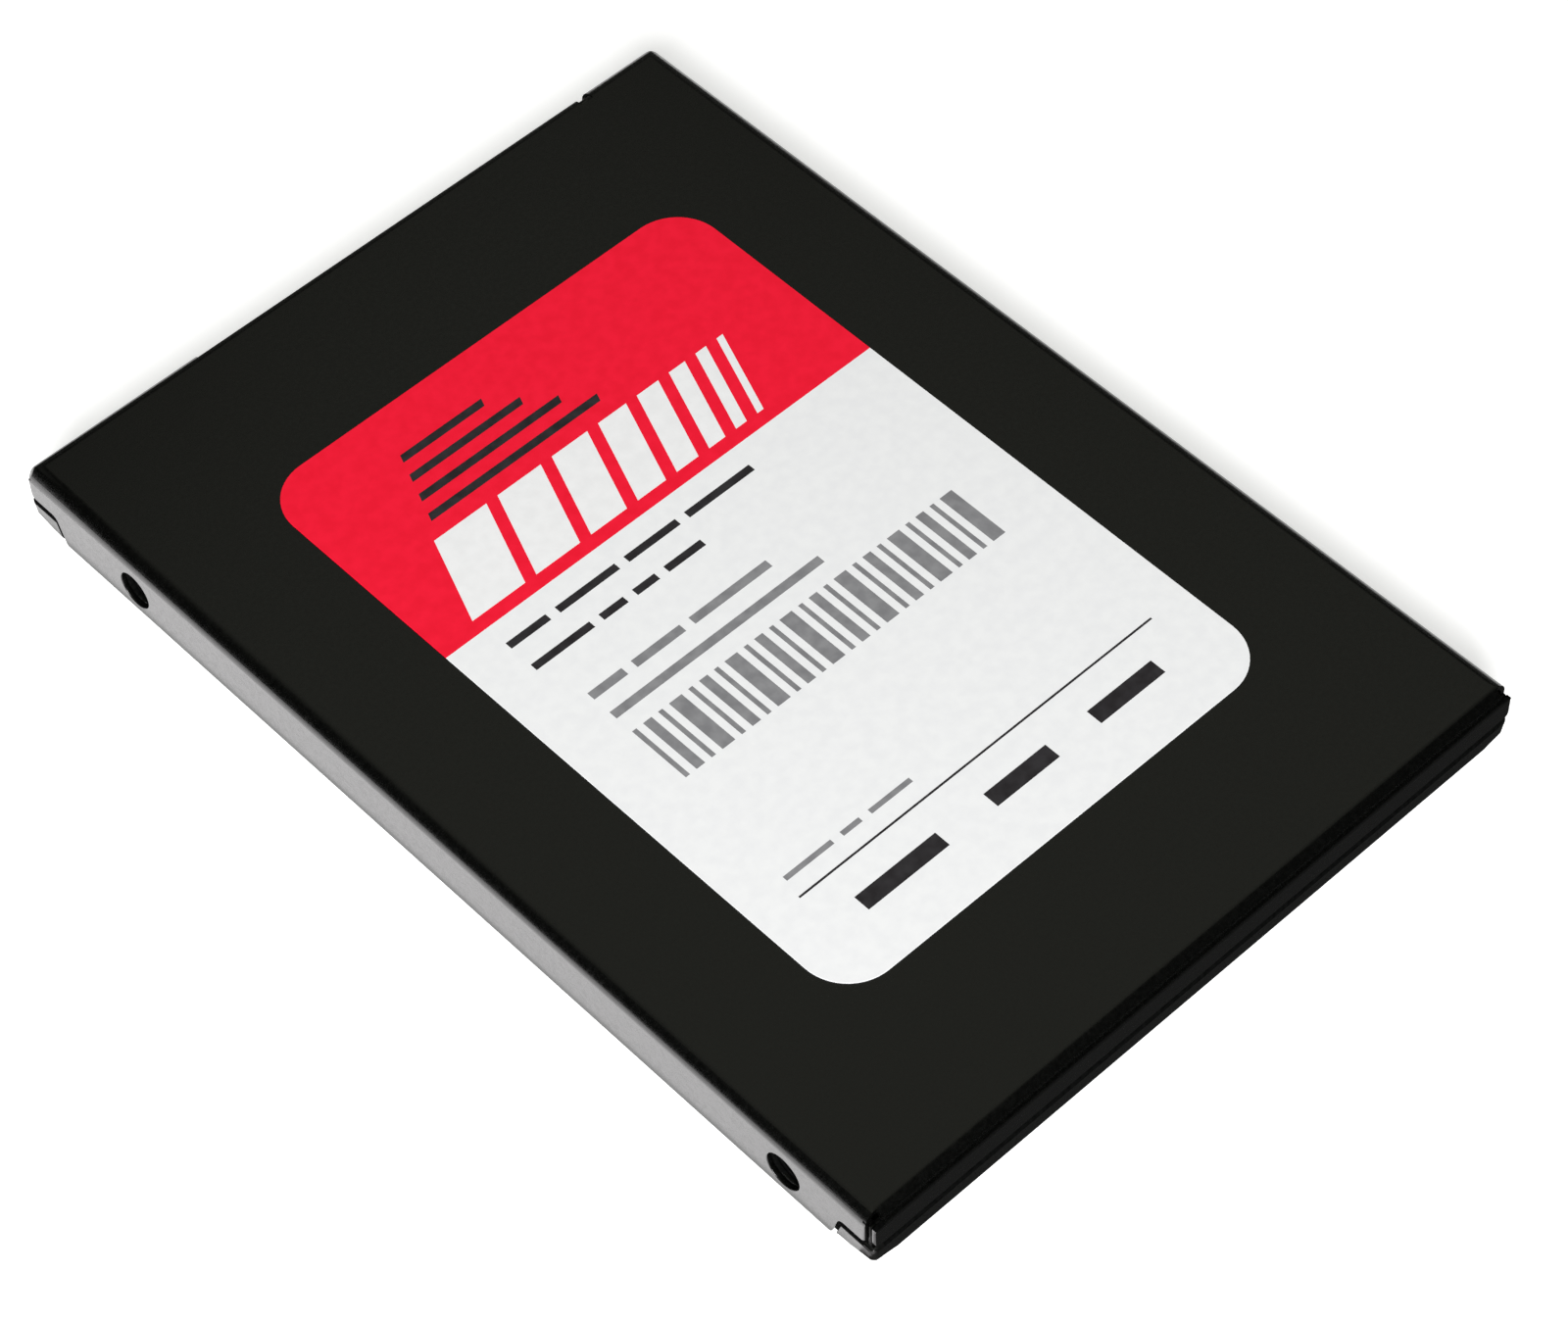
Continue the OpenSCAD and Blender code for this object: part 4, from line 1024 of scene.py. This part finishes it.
def makeBoard():
    bp = boardPlan
    screws = [middleOf(box) for box in islands("board_screws")]
    bm = cadShape("main_board", sorted({round(y, 3) for x, y in screws} | set(sheets["holeYs"])))
    for face in bm.faces:
        face.material_index = 0 if abs(face.normal.z) > bp["maskLean"] else 1
    soften(bm, bp["edge"])
    replaceNode("mainBoard", "main_board", bm, ["maskGreen", "laminateEdge"])

    top, under = boardHigh.z / mm, boardLow.z / mm
    padTop, padUnder, inkTop = top + bp["padLift"], under - bp["padLift"], top + bp["trackLift"]
    prints = bmesh.new()
    track, tin, gold, dark, white = 0, 1, 2, 3, 4
    for x, y in screws:
        for low, high in ((top, padTop), (padUnder, under)):
            ring(prints, x, y, bp["ringInner"], bp["ringOuter"], low, high, bp["ringSides"], gold)

    def run(points, wide=bp["trackWide"], face=1):
        z = (top, inkTop) if face > 0 else (under - bp["trackLift"], under)
        for (x0, y0), (x1, y1) in zip(points, points[1:]):
            length = math.hypot(x1 - x0, y1 - y0)
            ux, uy = (x1 - x0) / length * wide / 2, (y1 - y0) / length * wide / 2
            corners = [(x0 - ux - uy, y0 - uy + ux), (x0 - ux + uy, y0 - uy - ux),
                       (x1 + ux - uy, y1 + uy + ux), (x1 + ux + uy, y1 + uy - ux)]
            hull(prints, [inPlace(x, y, h) for x, y in corners for h in z], track)

    # bus from the controller down between the memory chips
    cx, cy, chx, chy = centreOf("controller_chip")
    tuck, out, jog = bp["tuck"], bp["branchOut"], bp["branchJog"]
    flashLow = min(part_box(f"memory_chip_{i}")[0].y for i in range(1, 5)) / mm
    for i in range(bp["busCount"]):
        off = i - (bp["busCount"] - 1) / 2
        lane = off * bp["busPitch"]
        start = cx + off * bp["busFan"]
        turn = cy - chy - bp["busTurn"] - bp["busStagger"] * abs(off)
        low = flashLow + bp["busStep"] * i
        high = low + bp["branchRise"]
        run([(start, cy - chy + tuck), (start, turn), (lane, turn - abs(start - lane)), (lane, low)])
        run([(lane, low), (lane + jog, low - jog), (out, low - jog)])
        run([(lane, high), (-out, high - bp["branchDrop"])] if lane < 0 else [(lane, high), (out, high)])
        run([(lane, cy - chy - bp["busUnder"]), (lane, low)], face=-1)
    # cache lines, plug pairs and boot lines
    kx, ky, khx, khy = centreOf("cache_chip")
    startX, bendX, endX = kx + khx - bp["cacheIn"], kx + khx + bp["cacheRun"], cx - chx + tuck
    for i in range(bp["cacheLines"]):
        y = ky - khy + bp["cacheFirst"] + i * bp["cachePitch"]
        jog = bp["cacheJogs"][i % 2]
        run([(startX, y), (bendX, y), (bendX + abs(jog), y + jog), (endX, y + jog)])
    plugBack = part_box("plug_housing")[0].y / mm
    for i in range(bp["pairLines"]):
        x = cx + bp["pairFirst"] + i * bp["pairPitch"]
        end = (x - bp["pairShift"], plugBack + tuck - bp["pairStagger"] * i)
        run([(x, cy + chy - tuck), (x, plugBack - bp["pairTurn"]), end], bp["pairWide"])
    bx, by, bhx = centreOf("boot_chip")[:3]
    for i in range(bootLeads["count"]):
        y = by - bp["bootFirst"] + i * bootLeads["pitch"]
        later = bp["bootStagger"] * i
        run([(bx + bhx, y), (bx + bhx + bp["bootRun"] + later, y),
             (bx + bhx + bp["bootReach"] + later, y - bp["bootDrop"])])
    # wide supply tracks
    for box in islands("inductors"):
        x, y = middleOf(box)
        low, high = y - bp["supplyOff"], y + bp["supplyOff"]
        run([(x, low), (x - bp["supplyLeft"], low)], bp["supplyLeftWide"])
        run([(x, high), (x + bp["supplyRight"], high)], bp["supplyRightWide"])
    for side in (-1, 1):
        for wide, face, points in bp["sideRuns"]:
            run([(side * x, y) for x, y in points], wide, face)
    # bare footprints along the tail of the board
    for i in range(bp["bareCount"]):
        x = bp["bareFirst"] + i * bp["barePitch"]
        for step in bp["bareSteps"]:
            y = bp["bareY"] + step
            flatBlock(prints, (x - bp["bareHalfX"], y - bp["bareHalfY"], top),
                      (x + bp["bareHalfX"], y + bp["bareHalfY"], padTop), tin)
    for i in range(bp["testCount"]):
        x = bp["testFirst"] + i * bp["testPitch"]
        for y, low, high in ((bp["testTopY"], top, padTop), (bp["testUnderY"], padUnder, under)):
            disc(prints, x, y, low, high, bp["testRadius"], bp["testSides"], gold)

    # white outlines about the chips
    thick = bp["outlineThick"]
    for name in bp["outlined"]:
        x, y, hx, hy = centreOf(name)
        arm = min(hx, hy) * bp["outlineArm"]
        for sx in (-1, 1):
            for sy in (-1, 1):
                ex, ey = x + sx * (hx + bp["outlineOut"]), y + sy * (hy + bp["outlineOut"])
                flatBlock(prints, (min(ex, ex - sx * arm), ey - thick / 2, top),
                          (max(ex, ex - sx * arm), ey + thick / 2, inkTop), white)
                flatBlock(prints, (ex - thick / 2, min(ey, ey - sy * arm), top),
                          (ex + thick / 2, max(ey, ey - sy * arm), inkTop), white)

    # vias wherever nothing stands
    busy = []
    for part in record["subparts"]:
        if part["node"] not in bp["viaIgnores"]:
            busy += islands(part["node"])
    pick = random.Random(bp["viaSeed"])
    margin, clear = bp["viaMargin"], bp["viaClear"]
    made = 0
    while made < bp["viaCount"]:
        x = pick.uniform(boardLow.x / mm + margin, boardHigh.x / mm - margin)
        y = pick.uniform(boardLow.y / mm + margin, boardHigh.y / mm - bp["viaPlugMargin"])
        if any(low.x / mm - clear < x < high.x / mm + clear and low.y / mm - clear < y < high.y / mm + clear
               for low, high in busy):
            continue
        for low, high in ((top, padTop), (padUnder, under)):
            disc(prints, x, y, low, high, bp["viaOuter"], bp["viaOuterSides"], tin)
            # a dark disc in each via stands in for its open bore as painted shade
            disc(prints, x, y, low - bp["viaProud"], high + bp["viaProud"], bp["viaHoleShade"],
                 bp["viaHoleShadeSides"], dark)
        made += 1
    tidyFlats(prints)
    addPiece("boardPrint", prints, ["maskTrace", "solderTin", "contactGold", "chipBlack", "inkWhite"], "base",
             "board_green")


makeBoard()
print("board")


# floor, lamps and camera

stage = {
    "floorColor": (0.86, 0.86, 0.86), "floorHalf": 1.5, "floorDrop": 0.00005, "floorGlow": (0.6, 0.6, 0.6),
    "paperRough": 0.9, "paperGrain": 0.02, "paperDetail": 2.0, "paperShade": 0.985,
    "worldColor": (0.02, 0.02, 0.02),
    "keyColor": (1, 1, 1), "keyPlace": (-0.54, -0.54, 0.477), "keySize": (0.42, 0.42), "keyGlow": 25.7,
    "skyColor": (1, 1.02, 0.86), "skyPlace": (0.085, 0.122, 0.6), "skySize": (0.93, 0.66), "skyTurn": 20,
    "skyGlow": 0.325,
    "sideColor": (1, 0.965, 0.985), "sideStart": 0.0004, "sideWidth": 0.02, "sideLength": 0.2,
    "sideHeight": 0.0003, "sideGlow": 1.07,
    "backPlace": (0.62, 0.7, 0.3), "backSize": (1.6, 0.56), "backGlow": 0.1, "backColor": (1, 1.02, 0.9),
    # dark cards on the floor that only reflections see: left, right, low and high edge in metres, and colour
    "cards": {"sideFlag": (-0.4, -0.0555, -0.3, 0.3, 0.003), "frontFlag": (-0.3, 0.3, -0.4, -0.0565, 0.003),
              "frontStrip": (-0.06, 0.06, -0.0565, -0.048, 0.06)},
    "cardHeight": 0.0002, "clothRough": 0.9,
}


def makeFloor():
    bm = bmesh.new()
    bmesh.ops.create_grid(bm, x_segments=8, y_segments=8, size=stage["floorHalf"])
    mesh = bpy.data.meshes.new("floor")
    bm.to_mesh(mesh)
    bm.free()
    mat, tree, shader = newFinish("floorPaper", stage["floorColor"], stage["paperRough"], shine=0.0)
    shaded = [c * stage["paperShade"] for c in stage["floorColor"]]
    tint(tree, shader, noise(tree, millimetres(tree), stage["paperGrain"], stage["paperDetail"]), shaded,
         stage["floorColor"])
    path = tree.nodes.new("ShaderNodeLightPath")
    seen = path.outputs["Is Camera Ray"]
    for ray in ("Is Glossy Ray", "Is Transmission Ray"):
        either = tree.nodes.new("ShaderNodeMath")
        either.operation = "MAXIMUM"
        tree.links.new(seen, either.inputs[0])
        tree.links.new(path.outputs[ray], either.inputs[1])
        seen = either.outputs[0]
    shader.inputs["Emission Color"].default_value = (*stage["floorGlow"], 1)
    tree.links.new(seen, shader.inputs["Emission Strength"])
    mesh.materials.append(mat)
    floor = bpy.data.objects.new("floor", mesh)
    floor.location.z = -stage["floorDrop"]
    bpy.context.scene.collection.objects.link(floor)


# a soft panel; its glow is the brightness of its face
def makePanel(name, place, facing, sizeX, sizeY, glow, color, turn=0):
    data = bpy.data.lights.new(name, "AREA")
    data.shape = "RECTANGLE"
    data.size, data.size_y = sizeX, sizeY
    data.energy = glow * math.pi * sizeX * sizeY
    data.color = color
    lamp = bpy.data.objects.new(name, data)
    lamp.location = place
    lamp.rotation_mode = "QUATERNION"
    lamp.rotation_quaternion = facing.to_track_quat("-Z", "Y") @ Quaternion((0, 0, 1), math.radians(turn))
    lamp.visible_camera = False
    bpy.context.scene.collection.objects.link(lamp)


def makeCard(name, left, right, low, high, shade):
    bm = bmesh.new()
    bmesh.ops.create_grid(bm, x_segments=4, y_segments=4, size=0.5)
    bmesh.ops.scale(bm, verts=bm.verts, vec=(right - left, high - low, 1))
    bmesh.ops.translate(bm, verts=bm.verts, vec=((left + right) / 2, (low + high) / 2, stage["cardHeight"]))
    mesh = bpy.data.meshes.new(name)
    bm.to_mesh(mesh)
    bm.free()
    mesh.materials.append(newFinish(name + "Cloth", (shade, shade, shade), stage["clothRough"], shine=0.0)[0])
    card = bpy.data.objects.new(name, mesh)
    bpy.context.scene.collection.objects.link(card)
    for ray in ("camera", "diffuse", "transmission", "volume_scatter", "shadow"):
        setattr(card, "visible_" + ray, False)


def makeWorld():
    world = bpy.data.worlds.new("studio")
    world.use_nodes = True
    back = world.node_tree.nodes["Background"]
    back.inputs["Color"].default_value = (*stage["worldColor"], 1)
    bpy.context.scene.world = world


photoCamera = {
    "eye": (-151.15, -172.80, 291.99),      # millimetres, as the photo was taken
    "forward": (0.40767, 0.45638, -0.79090),
    "right": (0.72612, -0.68720, -0.02227),
    "lens": 104.96, "sensor": 36.0, "clip": (0.01, 20),
}


def makeCamera():
    pc = photoCamera
    back = -Vector(pc["forward"]).normalized()
    right = Vector(pc["right"]).normalized()
    up = back.cross(right).normalized()
    data = bpy.data.cameras.new("photoCamera")
    data.sensor_fit = "HORIZONTAL"
    data.sensor_width = pc["sensor"]
    data.lens = pc["lens"]
    data.clip_start, data.clip_end = pc["clip"]
    cam = bpy.data.objects.new("photoCamera", data)
    bpy.context.scene.collection.objects.link(cam)
    turn = Matrix((right, up, back)).transposed()
    cam.matrix_world = Matrix.Translation(Vector(pc["eye"]) * mm) @ turn.to_4x4()
    bpy.context.scene.camera = cam


makeFloor()
for name, card in stage["cards"].items():
    makeCard(name, *card)
makeWorld()
makePanel("keyPanel", stage["keyPlace"], -Vector(stage["keyPlace"]), *stage["keySize"], stage["keyGlow"],
          stage["keyColor"])
makePanel("skyPanel", stage["skyPlace"], Vector((0, 0, -1)), *stage["skySize"], stage["skyGlow"],
          stage["skyColor"], stage["skyTurn"])
makePanel("backPanel", stage["backPlace"], -Vector(stage["backPlace"]), *stage["backSize"], stage["backGlow"],
          stage["backColor"])
sideX = cadBox[0].x - stage["sideStart"] - stage["sideWidth"] / 2
makePanel("sideCard", (sideX, 0, stage["sideHeight"]), Vector((0, 0, 1)), stage["sideWidth"],
          stage["sideLength"], stage["sideGlow"], stage["sideColor"])
makeCamera()
bpy.context.scene.view_settings.view_transform = "Standard"
print("stage set")
